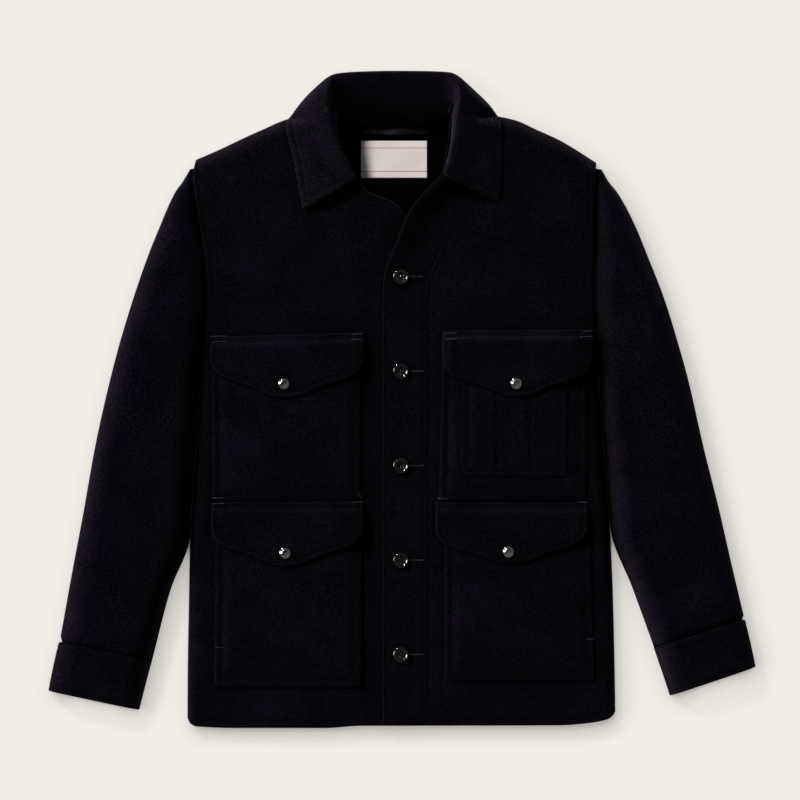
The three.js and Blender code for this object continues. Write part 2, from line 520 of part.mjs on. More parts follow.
// Upper face of whatever part of the body lies at a place in plan.
function bodyTop(x, y) {
  const below = read(SHOULDER, 'x', 'y', x) + COLLAR_NEAR - y;
  const spare = COLLAR_SPARE * (1 - smooth(SHOULDER_TURN, SHOULDER_TURN + 4 * COLLAR_NEAR, below));
  const onLower = below > 0 && x < read(LOWER_EDGE, 'y', 'x', y) + COLLAR_NEAR;
  const onUpper = below > 0 && x > read(UPPER_EDGE, 'y', 'x', y) - COLLAR_NEAR;
  if (onLower) return lowerFrontTop(x, y) + spare;
  if (onUpper) return upperFrontTop(x, y) + spare;
  return y < backNeck(x) + 2 * COLLAR_NEAR ? BACK_TOP : 0;
}

const frontUnder = (x, y) => (x < OVERLAP_EDGE ? lowerFrontTop(x, y) : upperFrontTop(x, y));

// Patch with turned-down sides and lower edge, its top edge open under the flap.
function makePatch({ topLeft, topRight, left, right, top, bottom }, base, rise, turn, thickness, counts) {
  const edge = [0, 0.29, 1];              // 1 - cos of 0, 45 and 90 degrees
  const height = top - bottom;
  const downs = [...range(counts.rows).slice(0, -1).map((t) => t * (height - turn)),
    ...[...edge].reverse().map((step) => height - step * turn)];
  const grid = downs.map((down) => {
    const y = top - down;
    const leftX = lerp(topLeft, left, down / height);
    const rightX = lerp(topRight, right, down / height);
    const xs = [...edge.map((step) => leftX + step * turn),
      ...range(counts.columns).slice(1, -1).map((t) => lerp(leftX + turn, rightX - turn, t)),
      ...[...edge].reverse().map((step) => rightX - step * turn)];
    return xs.map((x) => {
      const fromSides = turned(Math.min(x - leftX, rightX - x), turn);
      const fromBottom = turned(height - down, turn);
      return new THREE.Vector3(x, y, base(x, y) + LAYER_GAP + (rise - LAYER_GAP) * fromSides * fromBottom);
    });
  });
  const clear = (x, y) => base(x, y) + LAYER_GAP;
  return wall(grid, thickness, { upright: ['left', 'right', 'bottom'], floor: clear });
}

// Extra height that a flap needs where it lies over the narrow patch.
function utilityLift(x) {
  const { startLeft, fullLeft, fullRight, endRight } = UTILITY_EASE;
  return UTILITY_RISE * smooth(UTILITY.topLeft + startLeft, UTILITY.topLeft + fullLeft, x)
    * (1 - smooth(UTILITY.topRight + fullRight, UTILITY.topRight + endRight, x));
}

function flapTop(flap, x, y) {
  const sewn = lerp(flap.topLeft, flap.topRight, (x - flap.left) / (flap.right - flap.left));
  const extra = flap.name === 'upper_right' ? utilityLift(x) : 0;
  const climb = (POCKET_RISE + extra) * smooth(0, FLAP_STEP, sewn - y);
  return frontUnder(x, y) + LAYER_GAP + FLAP_WOOL + climb;
}

// Flap: straight sewn edge on top, straight sides, scalloped lower edge with a rounded point.
function makeFlap(flap) {
  const across = [0, 0.012, 0.045, 0.1, 0.2, 0.29, 0.375, 0.44, 0.5, 0.56, 0.63, 0.71, 0.8, 0.9,
    0.955, 0.988, 1];
  const downs = [0, 0.1, 0.2, 0.45, 0.72, 1];
  const grid = downs.map((down) => across.map((along) => {
    const x = lerp(flap.left, flap.right, along);
    const reach = x < flap.tipX ? flap.tipX - flap.left : flap.right - flap.tipX;
    const drop = read(SCALLOP, 'across', 'drop', Math.abs(x - flap.tipX) / reach);
    const lower = flap.corner + (flap.tipY - flap.corner) * drop;
    const sewn = lerp(flap.topLeft, flap.topRight, along);
    const climbing = down < FLAP_SHIFT;
    const share = climbing ? ((down / downs[2]) * FLAP_STEP) / (sewn - lower) : down;
    const y = lerp(sewn, lower, share);
    return new THREE.Vector3(x, y, flapTop(flap, x, y));
  }));
  return wall(grid, FLAP_WOOL);
}

const asSolid = (geometry) => {
  const bare = geometry.clone();
  bare.deleteAttribute('normal');
  bare.deleteAttribute('uv');
  const merged = mergeVertices(bare, 1e-5);
  return new wasm.Manifold(new wasm.Mesh({
    numProp: 3,
    vertProperties: new Float32Array(merged.attributes.position.array),
    triVerts: new Uint32Array(merged.index.array),
  }));
};

const asGeometry = (solid) => {
  const { vertProperties, triVerts } = solid.getMesh();
  const geometry = new THREE.BufferGeometry();
  geometry.setAttribute('position', new THREE.BufferAttribute(vertProperties, 3));
  geometry.setIndex(new THREE.BufferAttribute(triVerts, 1));
  return geometry;
};

// Four-hole button: a disc with a raised round rim and a dished middle.
function makeButton() {
  const { radius, height, rim, well, hole, holeOffset } = BUTTON;
  const profile = [
    [0, 0], [radius * 0.72, 0], [radius, height * 0.42], [radius, height * 0.62],
    [radius - rim * 0.35, height * 0.92], [radius - rim, height], [radius - rim * 1.8, height - well * 0.7],
    [radius * 0.3, height - well], [0, height - well],
  ];
  const disc = new THREE.LatheGeometry(profile.map(([r, z]) => new THREE.Vector2(r, z)), 24);
  disc.rotateX(Math.PI / 2);
  let solid = asSolid(disc);
  for (const [sx, sy] of [[1, 1], [-1, 1], [-1, -1], [1, -1]]) {
    const drill = new THREE.CylinderGeometry(hole, hole, height * 3, 8);
    drill.rotateX(Math.PI / 2);
    drill.translate(sx * holeOffset, sy * holeOffset, 0);
    solid = solid.subtract(asSolid(drill));
  }
  return asGeometry(solid);
}

// Domed snap cap with a rolled rim.
function makeSnap() {
  const { radius, height } = SNAP;
  const profile = [[0, 0], [radius * 0.9, 0], [radius, height * 0.25], [radius * 0.97, height * 0.5],
    [radius * 0.8, height * 0.72], [radius * 0.5, height * 0.93], [0, height]];
  const cap = new THREE.LatheGeometry(profile.map(([r, z]) => new THREE.Vector2(r, z)), 20);
  return cap.rotateX(Math.PI / 2);
}

// Rests a round fastener on the cloth under it.
function seatOn(mesh, x, y, radius, topOf) {
  const ring = range(8).map((t) => t * 2 * Math.PI)
    .map((angle) => topOf(x + radius * Math.cos(angle), y + radius * Math.sin(angle)));
  mesh.position.set(x, y, Math.max(topOf(x, y), ...ring) + LAYER_GAP);
  return mesh;
}

function makeLabel() {
  const shape = new THREE.Shape([
    new THREE.Vector2(LABEL.left, LABEL.bottom), new THREE.Vector2(LABEL.right, LABEL.bottom),
    new THREE.Vector2(LABEL.right, LABEL.top), new THREE.Vector2(LABEL.left, LABEL.top),
  ]);
  const plate = new THREE.ExtrudeGeometry(shape, { depth: LABEL.thickness, bevelEnabled: false });
  return plate.translate(0, 0, BACK_TOP + SEAM_GAP);
}

function makeLoop() {
  const grid = [LOOP.top, LOOP.bottom].map((y) => range(10).map((t) => {
    const bow = LOOP.bow * Math.sin(Math.PI * t) ** 2;
    return new THREE.Vector3(lerp(LOOP.left, LOOP.right, t), y, BACK_TOP + SEAM_GAP + LOOP.thickness + bow);
  }));
  return wall(grid, LOOP.thickness);
}

const jacket = new THREE.Group();
jacket.add(named('back', makeBack(), wool()));
jacket.add(named('front_left', makeFront('left', LOWER_EDGE, LOWER_SHARES, lowerFrontTop), wool()));
jacket.add(named('front_right', makeFront('right', UPPER_EDGE, UPPER_SHARES, upperFrontTop), wool()));
const sleeveGrid = { rows: 20, across: 4 };
const cuffGrid = { rows: 3, across: 4 };
for (const [side, sleeve, cuff] of [['left', SLEEVE_LEFT, CUFF_LEFT], ['right', SLEEVE_RIGHT, CUFF_RIGHT]]) {
  jacket.add(named(`sleeve_${side}`, makeSleeve(side, sleeve, sleeveGrid, WOOL, 0, true), wool()));
  const turnUp = makeSleeve(side, cuff, cuffGrid, CUFF_WOOL, CUFF_PROUD, false);
  jacket.add(named(`cuff_${side}`, turnUp, wool()));
}
jacket.add(named('collar', makeCollar(), wool()));
for (const pocket of POCKETS) {
  const patch = makePatch(pocket, frontUnder, POCKET_RISE, POCKET_TURN, POCKET_WOOL, { rows: 6, columns: 6 });
  jacket.add(named(pocket.name, patch, wool()));
}
const onPocket = (x, y) => frontUnder(x, y) + POCKET_RISE;
const utilityGrid = { rows: 5, columns: 5 };
const utility = makePatch(UTILITY, onPocket, UTILITY_RISE, UTILITY_TURN, UTILITY_WOOL, utilityGrid);
jacket.add(named('pocket_utility', utility, wool()));
for (const flap of FLAPS) jacket.add(named(`flap_${flap.name}`, makeFlap(flap), wool()));
for (const { name, x, y } of SNAPS) {
  const flap = FLAPS.find((entry) => entry.name === name);
  const cap = named(`snap_${name}`, makeSnap(), darkChrome());
  jacket.add(seatOn(cap, x, y, SNAP.radius, (px, py) => flapTop(flap, px, py)));
}
for (let i = 0; i < 5; i += 1) {
  const button = named(`button_${i + 1}`, makeButton(), blackPlastic());
  jacket.add(seatOn(button, BUTTON_X, BUTTON_TOP_Y - i * BUTTON_SPACING, BUTTON.radius, upperFrontTop));
}
jacket.add(named('neck_label', makeLabel(), wovenLabel()));
jacket.add(named('hanger_loop', makeLoop(), satin()));

export default jacket;
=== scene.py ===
# %% [markdown]
# # A wool mackinaw jacket, laid out flat
#
# The jacket lies on its back on a pale surface, buttoned, seen from straight above. It is made
# of thick felted wool, so there are few sharp folds: the shape comes from broad loft, rolled
# edges, layers that lie on each other, and rows of stitching that press small furrows.
# Each piece of cloth is a surface worked out with numpy as a function of two parameters, then
# given its thickness with soft, rounded edges.

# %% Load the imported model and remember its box
import math
from collections import namedtuple

import bpy
import numpy as np
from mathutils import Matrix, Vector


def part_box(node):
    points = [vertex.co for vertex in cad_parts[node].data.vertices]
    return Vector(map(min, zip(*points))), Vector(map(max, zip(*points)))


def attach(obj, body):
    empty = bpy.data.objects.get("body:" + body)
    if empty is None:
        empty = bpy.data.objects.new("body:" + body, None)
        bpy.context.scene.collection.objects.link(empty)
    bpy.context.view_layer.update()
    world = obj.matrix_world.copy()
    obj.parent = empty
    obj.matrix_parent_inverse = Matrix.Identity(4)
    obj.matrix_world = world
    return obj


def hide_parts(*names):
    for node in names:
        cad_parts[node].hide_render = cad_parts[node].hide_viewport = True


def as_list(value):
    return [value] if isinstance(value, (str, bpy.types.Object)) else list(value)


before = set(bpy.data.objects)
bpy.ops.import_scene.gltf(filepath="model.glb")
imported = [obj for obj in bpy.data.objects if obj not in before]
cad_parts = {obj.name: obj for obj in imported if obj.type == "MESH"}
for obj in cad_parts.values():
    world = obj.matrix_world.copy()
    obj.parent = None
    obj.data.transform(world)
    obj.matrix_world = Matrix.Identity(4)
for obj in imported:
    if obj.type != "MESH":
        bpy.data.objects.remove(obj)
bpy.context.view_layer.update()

# %% [markdown]
# ## Sizes
#
# All shape functions work in millimetres, and the mesh maker turns them into metres. A table
# has named columns, and `read` draws a smooth curve through one column without overshooting.

# %% Tables and the curve through them
MM = 0.001


def table(names, *rows):
    """Columns by name from rows of numbers."""
    return {name: np.array(column, float) for name, column in zip(names.split(), zip(*rows))}


def read(source, key, column, at):
    """Smooth curve through a column, read at values of its key column. Each stretch is a cubic
    whose end slopes are the harmonic mean of the neighbouring slopes, so it never overshoots."""
    x, y = source[key], source[column]
    if x[0] > x[-1]:
        x, y = x[::-1], y[::-1]
    at = np.clip(at, x[0], x[-1])
    i = np.clip(np.searchsorted(x, at, side="right") - 1, 0, len(x) - 2)
    step = np.diff(x)
    slope = np.diff(y) / step
    product = slope[:-1] * slope[1:]
    total = slope[:-1] + slope[1:]
    level = np.where(product > 0, 2 * product / np.where(total == 0, 1, total), 0)
    tangent = np.concatenate([slope[:1], level, slope[-1:]])
    t = (at - x[i]) / step[i]
    return ((1 + 2 * t) * (1 - t) ** 2 * y[i] + t * (1 - t) ** 2 * step[i] * tangent[i]
            + t * t * (3 - 2 * t) * y[i + 1] + t * t * (t - 1) * step[i] * tangent[i + 1])


def smooth(low, high, value):
    """0 at low, 1 at high, and an S curve between. Low may be the larger of the two."""
    t = np.clip((value - low) / (high - low), 0, 1)
    return t * t * (3 - 2 * t)


def turned(distance, radius):
    """Quarter circle: 0 at a fold, 1 once the cloth has turned level."""
    return np.sqrt(1 - (1 - np.clip(distance / radius, 0, 1)) ** 2)


def lerp(a, b, t):
    """The value a share t of the way from a to b."""
    return a + (b - a) * t


def unit(v):
    """Vectors brought to length one."""
    return v / np.maximum(np.linalg.norm(v, axis=-1, keepdims=True), 1e-9)


# %% Sizes of the body
WOOL = 3.0
POCKET_WOOL = 2.6
FLAP_WOOL = 3.6
COLLAR_WOOL = 3.2
CUFF_WOOL = 3.6
SEAM_GAP = 0.3
LAYER_GAP = 0.45
SHOULDER_TURN, SHOULDER_LEAN = 18, 0.92
OVERLAP_EDGE, UNDERLAP_EDGE = -23.4, 25
OVERLAP_EASE, OVERLAP_LEVEL = 24, 6
LAPEL_RISE, LAPEL_REACH, LAPEL_WIDER = 17, 14, 12
LAPEL_START, LAPEL_FULL, LAPEL_FADING, LAPEL_GONE = 120, 250, 262, 298
NECK_ROLL, NECK_ROLL_IN, NECK_ROLL_WIDTH = 4, 3, 7
POCKET_RISE, POCKET_TURN = 6.0, 3.0
UTILITY_RISE, UTILITY_TURN, UTILITY_WOOL = 3.2, 2.2, 2.4
FLAP_STEP = 15

SIDES = table(
    "y left right rise turn",
    (292, -246.0, 233.0, 20, 6), (268, -250.8, 232.0, 20, 6), (248, -248.5, 231.6, 20, 6),
    (208, -242.4, 230.4, 20, 6), (168, -236.4, 229.2, 20, 6), (128, -232.8, 228.4, 20, 6),
    (88, -234.0, 231.0, 19, 7), (48, -238.0, 234.2, 12, 10), (8, -242.4, 237.2, 0, 14),
    (-50, -246.8, 241.5, 0, 14), (-115, -251.0, 246.5, 0, 14), (-164, -254.0, 250.0, 0, 14),
    (-240, -255.6, 253.2, 0, 14), (-320, -257.0, 255.0, 0, 13), (-395, -257.4, 256.2, 0, 9))
LOFT = table(
    "y middle flank",
    (350, 24, 20), (200, 27, 23), (60, 26, 22), (-100, 24, 17), (-250, 21, 14),
    (-340, 17, 12.5), (-395, 12.5, 10.5))
SHOULDER = table(
    "x y",
    (-251, 286.4), (-219.6, 300), (-194.4, 312), (-168, 324), (-136.8, 337), (-108, 343),
    (-77, 346), (-10, 347), (57.6, 346), (96, 343), (134.4, 336), (162, 324), (188.4, 312),
    (208.8, 300), (234, 284))
HEM = table(
    "x y",
    (-258, -380), (-254.5, -388), (-245, -391.5), (-200, -393.2), (-92, -393.2), (-50, -390.6),
    (190, -390), (222, -387.5), (244, -383.5), (253, -379), (257, -372))
LOWER_EDGE = table(
    "y x",
    (346, -77), (305, -69.6), (282, -60.5), (262, -50.4), (248, -38), (238, -13), (224, 3.6),
    (205, 17), (185, 24), (160, UNDERLAP_EDGE), (-395, UNDERLAP_EDGE))
UPPER_EDGE = table(
    "y x",
    (346, 57.6), (316, 55.8), (292, 51.5), (271, 46.4), (250, 28.2), (232, 13.2), (216, 4.2),
    (188, -6.4), (152, -21.0), (120, OVERLAP_EDGE), (-395, OVERLAP_EDGE))
NECK_LEFT, NECK_RIGHT, NECK_Y, NECK_DIP, NECK_ALLOWANCE = -77, 57.6, 346, 16, 4

# %% [markdown]
# ## The lie of the body
#
# The body is a height over the plan. It stands on the back panel, rises in a quarter circle at
# the sides and at the shoulder, and arches gently to the middle. Broad creases are soft troughs
# or ridges along short lines listed in a table: wool this thick shows no others.


# %% Creases and the upper face of the body
BODY_CREASES = table(
    "x0 y0 x1 y1 width depth",
    (-238, 190, -196, 142, 15, -1.3), (-243, 236, -205, 118, 22, 1.0),
    (226, 150, 196, 205, 16, -1.1), (229, 214, 205, 116, 24, 0.9),
    (-118, 240, -150, 176, 26, 0.9), (96, 236, 152, 168, 30, 1.0),
    (-44, 150, -56, -110, 15, -1.1), (34, 190, 32, 60, 12, -0.9),
    (-250, -60, -238, -330, 13, 0.9), (246, -40, 240, -310, 14, 0.9),
    (-34, -110, -37, -350, 12, -1.2), (-150, 168, -60, 196, 20, -0.6),
    (60, 128, 170, 112, 20, 0.6), (-36, 60, -34, -60, 12, -0.9))


def creases(x, y, source):
    """Sum of soft troughs and ridges: each is its depth times a bell curve of the distance from
    its line, fading out past the line's ends."""
    height = np.zeros(np.broadcast(x, y).shape)
    for x0, y0, x1, y1, width, depth in zip(*source.values()):
        run = math.hypot(x1 - x0, y1 - y0)
        along = ((x - x0) * (x1 - x0) + (y - y0) * (y1 - y0)) / run
        aside = ((x - x0) * (y1 - y0) - (y - y0) * (x1 - x0)) / run
        past = np.maximum(0, np.abs(along - run / 2) - run / 2)
        height += depth * np.exp(-(aside / width) ** 2 - (past / (1.4 * width)) ** 2)
    return height


def torso_top(x, y):
    """Upper face of the closed body: edge rise plus a quarter circle up to the crown at the
    sides, the whole brought down in a quarter circle at the shoulder line."""
    left, right = (read(SIDES, "y", side, y) for side in ("left", "right"))
    rise, turn = read(SIDES, "y", "rise", y), read(SIDES, "y", "turn", y)
    from_side = np.maximum(0, np.minimum(x - left, right - x))
    across = np.clip((x - (left + right) / 2) / ((right - left) / 2), -1, 1)
    flank = read(LOFT, "y", "flank", y)
    crown = flank + (read(LOFT, "y", "middle", y) - flank) * (1 - across * across)
    below = np.maximum(0, read(SHOULDER, "x", "y", x) - y) * SHOULDER_LEAN
    height = rise + (crown - rise) * turned(from_side, turn)
    height = height + creases(x, y, BODY_CREASES) * smooth(0, 20, from_side)
    return WOOL + SEAM_GAP + height * turned(below, SHOULDER_TURN)


def lower_front_top(x, y):
    """The front that lies below dips by one thickness before the upper front's edge, and its
    neck edge carries a low roll, a bell curve of the distance from the edge."""
    inside = x - read(UPPER_EDGE, "y", "x", y) + OVERLAP_EASE + OVERLAP_LEVEL
    to_edge = np.maximum(0, read(LOWER_EDGE, "y", "x", y) - x)
    stretch = smooth(206, 228, y) * (1 - smooth(250, 276, y))
    roll = NECK_ROLL * np.exp(-(((to_edge - NECK_ROLL_IN) / NECK_ROLL_WIDTH) ** 2)) * stretch
    return torso_top(x, y) - (WOOL + LAYER_GAP) * smooth(0, OVERLAP_EASE, inside) + roll


def upper_front_top(x, y):
    """The upper front's neck edge stands up where it falls open: a bell curve of the distance
    from the edge, which grows taller and wider up to the collar and fades out under it."""
    from_edge = np.maximum(0, x - read(UPPER_EDGE, "y", "x", y))
    opened = smooth(LAPEL_START, LAPEL_FULL, y)
    rise = LAPEL_RISE * opened * (1 - smooth(LAPEL_FADING, LAPEL_GONE, y))
    return torso_top(x, y) + rise * np.exp(-((from_edge / (LAPEL_REACH + LAPEL_WIDER * opened)) ** 2))


def front_under(x, y):
    """Upper face of whichever front shows at a place."""
    return np.where(x < OVERLAP_EDGE, lower_front_top(x, y), upper_front_top(x, y))


print("middle of the chest stands", round(float(torso_top(0.0, 100.0)), 1), "mm high")

# %% [markdown]
# ## From a surface to cloth
#
# A piece of cloth is an outer face, an inner face one thickness below it, and a rim. Felt has
# soft edges, so near a free edge both faces draw together in a quarter circle, which gives the
# plump, rounded edge of folded and stitched wool. Grid lines crowd together near the edges.


# %% Meshes from grids of points
def make_mesh(name, points, quads, uv=None):
    """Mesh object from points in millimetres and rows of four corners each."""
    mesh = bpy.data.meshes.new(name)
    count = len(quads)
    mesh.vertices.add(len(points))
    mesh.vertices.foreach_set("co", (np.asarray(points, np.float32) * MM).ravel())
    mesh.loops.add(count * 4)
    mesh.loops.foreach_set("vertex_index", np.asarray(quads, np.int32).ravel())
    mesh.polygons.add(count)
    mesh.polygons.foreach_set("loop_start", np.arange(count, dtype=np.int32) * 4)
    mesh.polygons.foreach_set("use_smooth", np.ones(count, bool))
    mesh.update(calc_edges=True)
    if uv is not None:
        layer = mesh.uv_layers.new(name="Cloth")
        layer.data.foreach_set("uv", np.asarray(uv, np.float32)[np.asarray(quads).ravel()].ravel())
    mesh.validate()
    piece = bpy.data.objects.new(name, mesh)
    bpy.context.scene.collection.objects.link(piece)
    return piece


def normals_of(grid):
    """Unit normals of a grid whose rows run down and whose columns run right."""
    return unit(np.cross(np.gradient(grid, axis=0), np.gradient(grid, axis=1)))


def grid_quads(rows, columns, start=0):
    """Corners of the cells of a grid, facing up."""
    at = start + np.arange(rows * columns).reshape(rows, columns)
    return np.stack([at[:-1, :-1], at[1:, :-1], at[1:, 1:], at[:-1, 1:]], -1).reshape(-1, 4)


EDGE_ROUND, EDGE_LEAST = 0.6, 0.14


def wall(name, outer, thickness, to_edge, floor=None, puff=None):
    """Cloth from its outer face: the inner face lies one thickness inwards, and both close
    towards the middle of the wall as the distance to a free edge goes to nothing. puff moves
    both along the normal, and floor is the height that nothing goes below."""
    rows, columns = outer.shape[:2]
    normal = normals_of(outer)
    if puff is not None:
        outer = outer + normal * puff[..., None]
    full = np.maximum(turned(to_edge, thickness * EDGE_ROUND), EDGE_LEAST)[..., None]
    upper = outer - normal * (thickness / 2) * (1 - full)
    under = outer - normal * (thickness / 2) * (1 + full)
    if floor is not None:
        least = floor(under[..., 0], under[..., 1])
        under[..., 2] = np.maximum(under[..., 2], least)
        upper[..., 2] = np.maximum(upper[..., 2], least + SEAM_GAP)
    count = rows * columns
    at = np.arange(count).reshape(rows, columns)
    ring = np.concatenate([at[:-1, 0], at[-1, :-1], at[:0:-1, -1], at[0, :0:-1]])
    after = np.roll(ring, -1)
    rim = np.stack([after, ring, ring + count, after + count], -1)
    quads = np.concatenate([grid_quads(rows, columns), grid_quads(rows, columns, count)[:, ::-1], rim])
    run_along = np.linalg.norm(np.diff(outer, axis=1), axis=2).cumsum(1)
    run_down = np.linalg.norm(np.diff(outer, axis=0), axis=2).cumsum(0)
    along = np.concatenate([np.zeros((rows, 1)), run_along], 1)
    down = np.concatenate([np.zeros((1, columns)), run_down], 0)
    uv = np.stack([along, down], -1).reshape(-1, 2) * MM
    points = np.concatenate([upper.reshape(-1, 3), under.reshape(-1, 3)])
    return make_mesh(name, points, quads, np.concatenate([uv, uv]))


EDGE_STEPS = np.array([0, 0.25, 0.6, 1.1, 1.8, 2.8, 4.0, 5.2, 6.2, 7.2, 8.6, 11])
TURN_ANGLES = np.linspace(0, math.pi / 2, 9)
TURN_STEPS = 1 - np.cos(TURN_ANGLES)


def spread(length, near, middle, far):
    """Distances from one side to the other: fixed steps at both ends and even ones between.
    length may be an array, a value for each row."""
    length = np.asarray(length, float)[..., None]
    near, far = np.asarray(near, float), np.asarray(far, float)[::-1]
    start = near * np.ones_like(length)
    end = length - far
    share = np.linspace(0, 1, middle + 2)[1:-1]
    between = start[..., -1:] + (end[..., :1] - start[..., -1:]) * share
    return np.concatenate([start, between, end], -1)


# %% [markdown]
# ## Stitches
#
# Each stitch is a small thread bead that dips into the cloth at both ends. One run of stitching
# is an array of copies of that bead along a line, all joined into one mesh, and every run of
# one colour of thread ends up in the same piece.

# %% A bead of thread and runs of it
BEAD_RINGS = np.array([-0.5, -0.32, 0, 0.32, 0.5])
BEAD_WIDTHS = np.array([0.35, 0.85, 1.0, 0.85, 0.35])
BEAD_DIPS = np.array([-0.55, -0.05, 0.15, -0.05, -0.55])
BEAD_SIDES, BEAD_POINTS, BEAD_FLATNESS = 4, 20, 0.8
THREAD_RUNS = {"dark": [], "light": []}


def along_line(line, run, at):
    """Points of a line at distances along it, held to its two ends."""
    at = np.clip(at, 0, run[-1])
    return np.stack([np.interp(at, run, line[:, k]) for k in range(3)], -1)


def stitch_run(line, colour="dark", pitch=3.5, length=2.7, width=0.62):
    """Beads along a line of points in space (millimetres): centre, direction and side of each
    bead come from the line at even steps of its length."""
    line = np.asarray(line, float)
    run = np.concatenate([[0], np.linalg.norm(np.diff(line, axis=0), axis=1).cumsum()])
    count = max(1, int(run[-1] / pitch))
    at = (np.arange(count) + 0.5) * run[-1] / count
    here = along_line(line, run, at)
    ahead = unit(along_line(line, run, at + length / 2) - along_line(line, run, at - length / 2))
    side = unit(np.cross(ahead, [0, 0, 1.0]))
    up = np.cross(side, ahead)
    around = (np.arange(BEAD_SIDES) + 0.5) * 2 * math.pi / BEAD_SIDES
    ring = (here[:, None, None] + ahead[:, None, None] * (BEAD_RINGS * length)[None, :, None, None]
            + up[:, None, None] * (BEAD_DIPS * width)[None, :, None, None]
            + (side[:, None, None] * np.cos(around)[None, None, :, None]
               + up[:, None, None] * np.sin(around)[None, None, :, None] * BEAD_FLATNESS)
            * (BEAD_WIDTHS * width / 2)[None, :, None, None])
    THREAD_RUNS[colour].append(ring.reshape(-1, BEAD_POINTS, 3))
    return count


def bead_quads():
    """Corners of one bead: four sides along it, and a cap at each end."""
    at = np.arange(BEAD_POINTS).reshape(-1, BEAD_SIDES)
    nxt = np.roll(at, -1, 1)
    sides = np.stack([at[:-1], at[1:], nxt[1:], nxt[:-1]], -1).reshape(-1, 4)
    return np.concatenate([sides, at[:1], at[-1:, ::-1]])


def lay(x, y, top, lift=0.12):
    """Points on a surface: plan coordinates with the surface's height."""
    x, y = np.broadcast_arrays(np.asarray(x, float), np.asarray(y, float))
    return np.stack([x, y, top(x, y) + lift], -1)


def straight(start, end, top, step=3.0, lift=0.12):
    """A straight line in plan, laid on a surface."""
    count = max(3, int(math.hypot(end[0] - start[0], end[1] - start[1]) / step))
    t = np.linspace(0, 1, count)
    return lay(lerp(start[0], end[0], t), lerp(start[1], end[1], t), top, lift)


def furrow(distance, at, width=1.5, depth=0.8):
    """Groove that a row of stitches presses, at a distance from an edge."""
    return -depth * np.exp(-((distance - at) / width) ** 2)


# %% [markdown]
# ## Fronts
#
# A front is bounded by the shoulder, the side, its own inner edge and the hem. A level runs
# down it, and each level joins a point of the side to a point of the inner edge.

# %% Fronts
FRONT_ROWS = table(
    "index side inner",
    (0, 288, 346), (1, 268, 324), (2, 242, 296), (3, 205, 264), (4, 168, 240), (5, 130, 214),
    (6, 92, 182), (7, 74, 150), (8, 50, 112), (9, 14, 52), (10, -42, -18), (11, -100, -86),
    (12, -160, -152), (13, -220, -216), (14, -280, -278), (15, -335, -335), (16, -380, -390))
LAST_LEVEL = 16
HEM_STEPS = np.array([11, 9.4, 8.0, 6.6, 5, 3.4, 2.2, 1.3, 0.7, 0.3, 0]) / 50
ARMHOLE_STITCH, HEM_STITCH, EDGE_STITCH = 6.2, 8.0, 4.6
BAND_STITCHES = (25.2, 31.0)
BAND_STEPS = np.array([44.5, 46.4, 47.6, 48.6, 49.6, 50.8, 52, 53.2, 54.4, 55.6, 57, 59])


def front_grid(side, inner_table, top_of):
    """Points of a front and the distance of each from the side, inner edge, shoulder and hem.
    A level is a straight line from the side to the inner edge, and the first and last levels
    are bent to the shoulder and the hem."""
    sign = 1 if side == "left" else -1
    fine_end = LAST_LEVEL - HEM_STEPS
    level = np.concatenate([TURN_STEPS, np.linspace(1, fine_end[0], 168)[1:-1], fine_end])
    side_y = read(FRONT_ROWS, "index", "side", level)
    inner_y = read(FRONT_ROWS, "index", "inner", level)
    side_x = read(SIDES, "y", side, side_y)
    inner_x = read(inner_table, "y", "x", inner_y)
    turn = read(SIDES, "y", "turn", side_y)
    width = np.abs(inner_x - side_x)
    near = TURN_STEPS[None] * turn[:, None]
    far, middle = EDGE_STEPS, 84
    if side == "right":
        far, middle = np.concatenate([EDGE_STEPS, np.linspace(14, 42, 9), BAND_STEPS]), 64
    rest = spread(width - turn, [0, 1.5], middle, far)[:, 1:] + turn[:, None]
    across = np.concatenate([near, rest], 1)
    x = side_x[:, None] + sign * across
    share = across / width[:, None]
    down = (level / LAST_LEVEL)[:, None]
    flat = lerp(side_y[:, None], inner_y[:, None], share)
    chord_top = lerp(FRONT_ROWS["side"][0], FRONT_ROWS["inner"][0], share)
    chord_hem = lerp(FRONT_ROWS["side"][-1], FRONT_ROWS["inner"][-1], share)
    y = (flat + (read(SHOULDER, "x", "y", x) - chord_top) * (1 - down) ** 3
         + (read(HEM, "x", "y", x) - chord_hem) * down ** 6)
    grid = np.stack([x, y, top_of(x, y)], -1)
    to_inner = width[:, None] - across
    to_hem = y - y[-1:]
    distances = {"side": across, "inner": to_inner, "hem": to_hem, "shoulder": y[:1] - y}
    if side == "right":
        grid = grid[:, ::-1]
        distances = {key: value[:, ::-1] for key, value in distances.items()}
    return grid, distances


def make_front(side, inner_table, top_of):
    """A front with the furrows of its stitches at the armhole, hem, inner edge and band."""
    grid, to = front_grid(side, inner_table, top_of)
    in_armhole = smooth(20, 60, grid[..., 1])
    puff = (furrow(to["side"], ARMHOLE_STITCH, 1.9, 1.0) * in_armhole
            + furrow(to["hem"], HEM_STITCH) + furrow(to["inner"], EDGE_STITCH, 1.3, 0.6))
    if side == "right":
        in_band = smooth(210, 190, grid[..., 1])
        puff = puff + in_band * sum(furrow(to["inner"], at - OVERLAP_EDGE) for at in BAND_STITCHES)
    print(side, "front", grid.shape, "points")
    return wall(f"cloth_front_{side}", grid, WOOL, np.minimum(to["inner"], to["hem"]), puff=puff)


FRONTS = {"left": (LOWER_EDGE, lower_front_top), "right": (UPPER_EDGE, upper_front_top)}
fronts = {side: make_front(side, *given) for side, given in FRONTS.items()}

# %% [markdown]
# ## Back
#
# The back lies flat on the surface. Only its neck shows from above, with the label and the
# hanging tape on it, but the whole panel is there, to its hem.


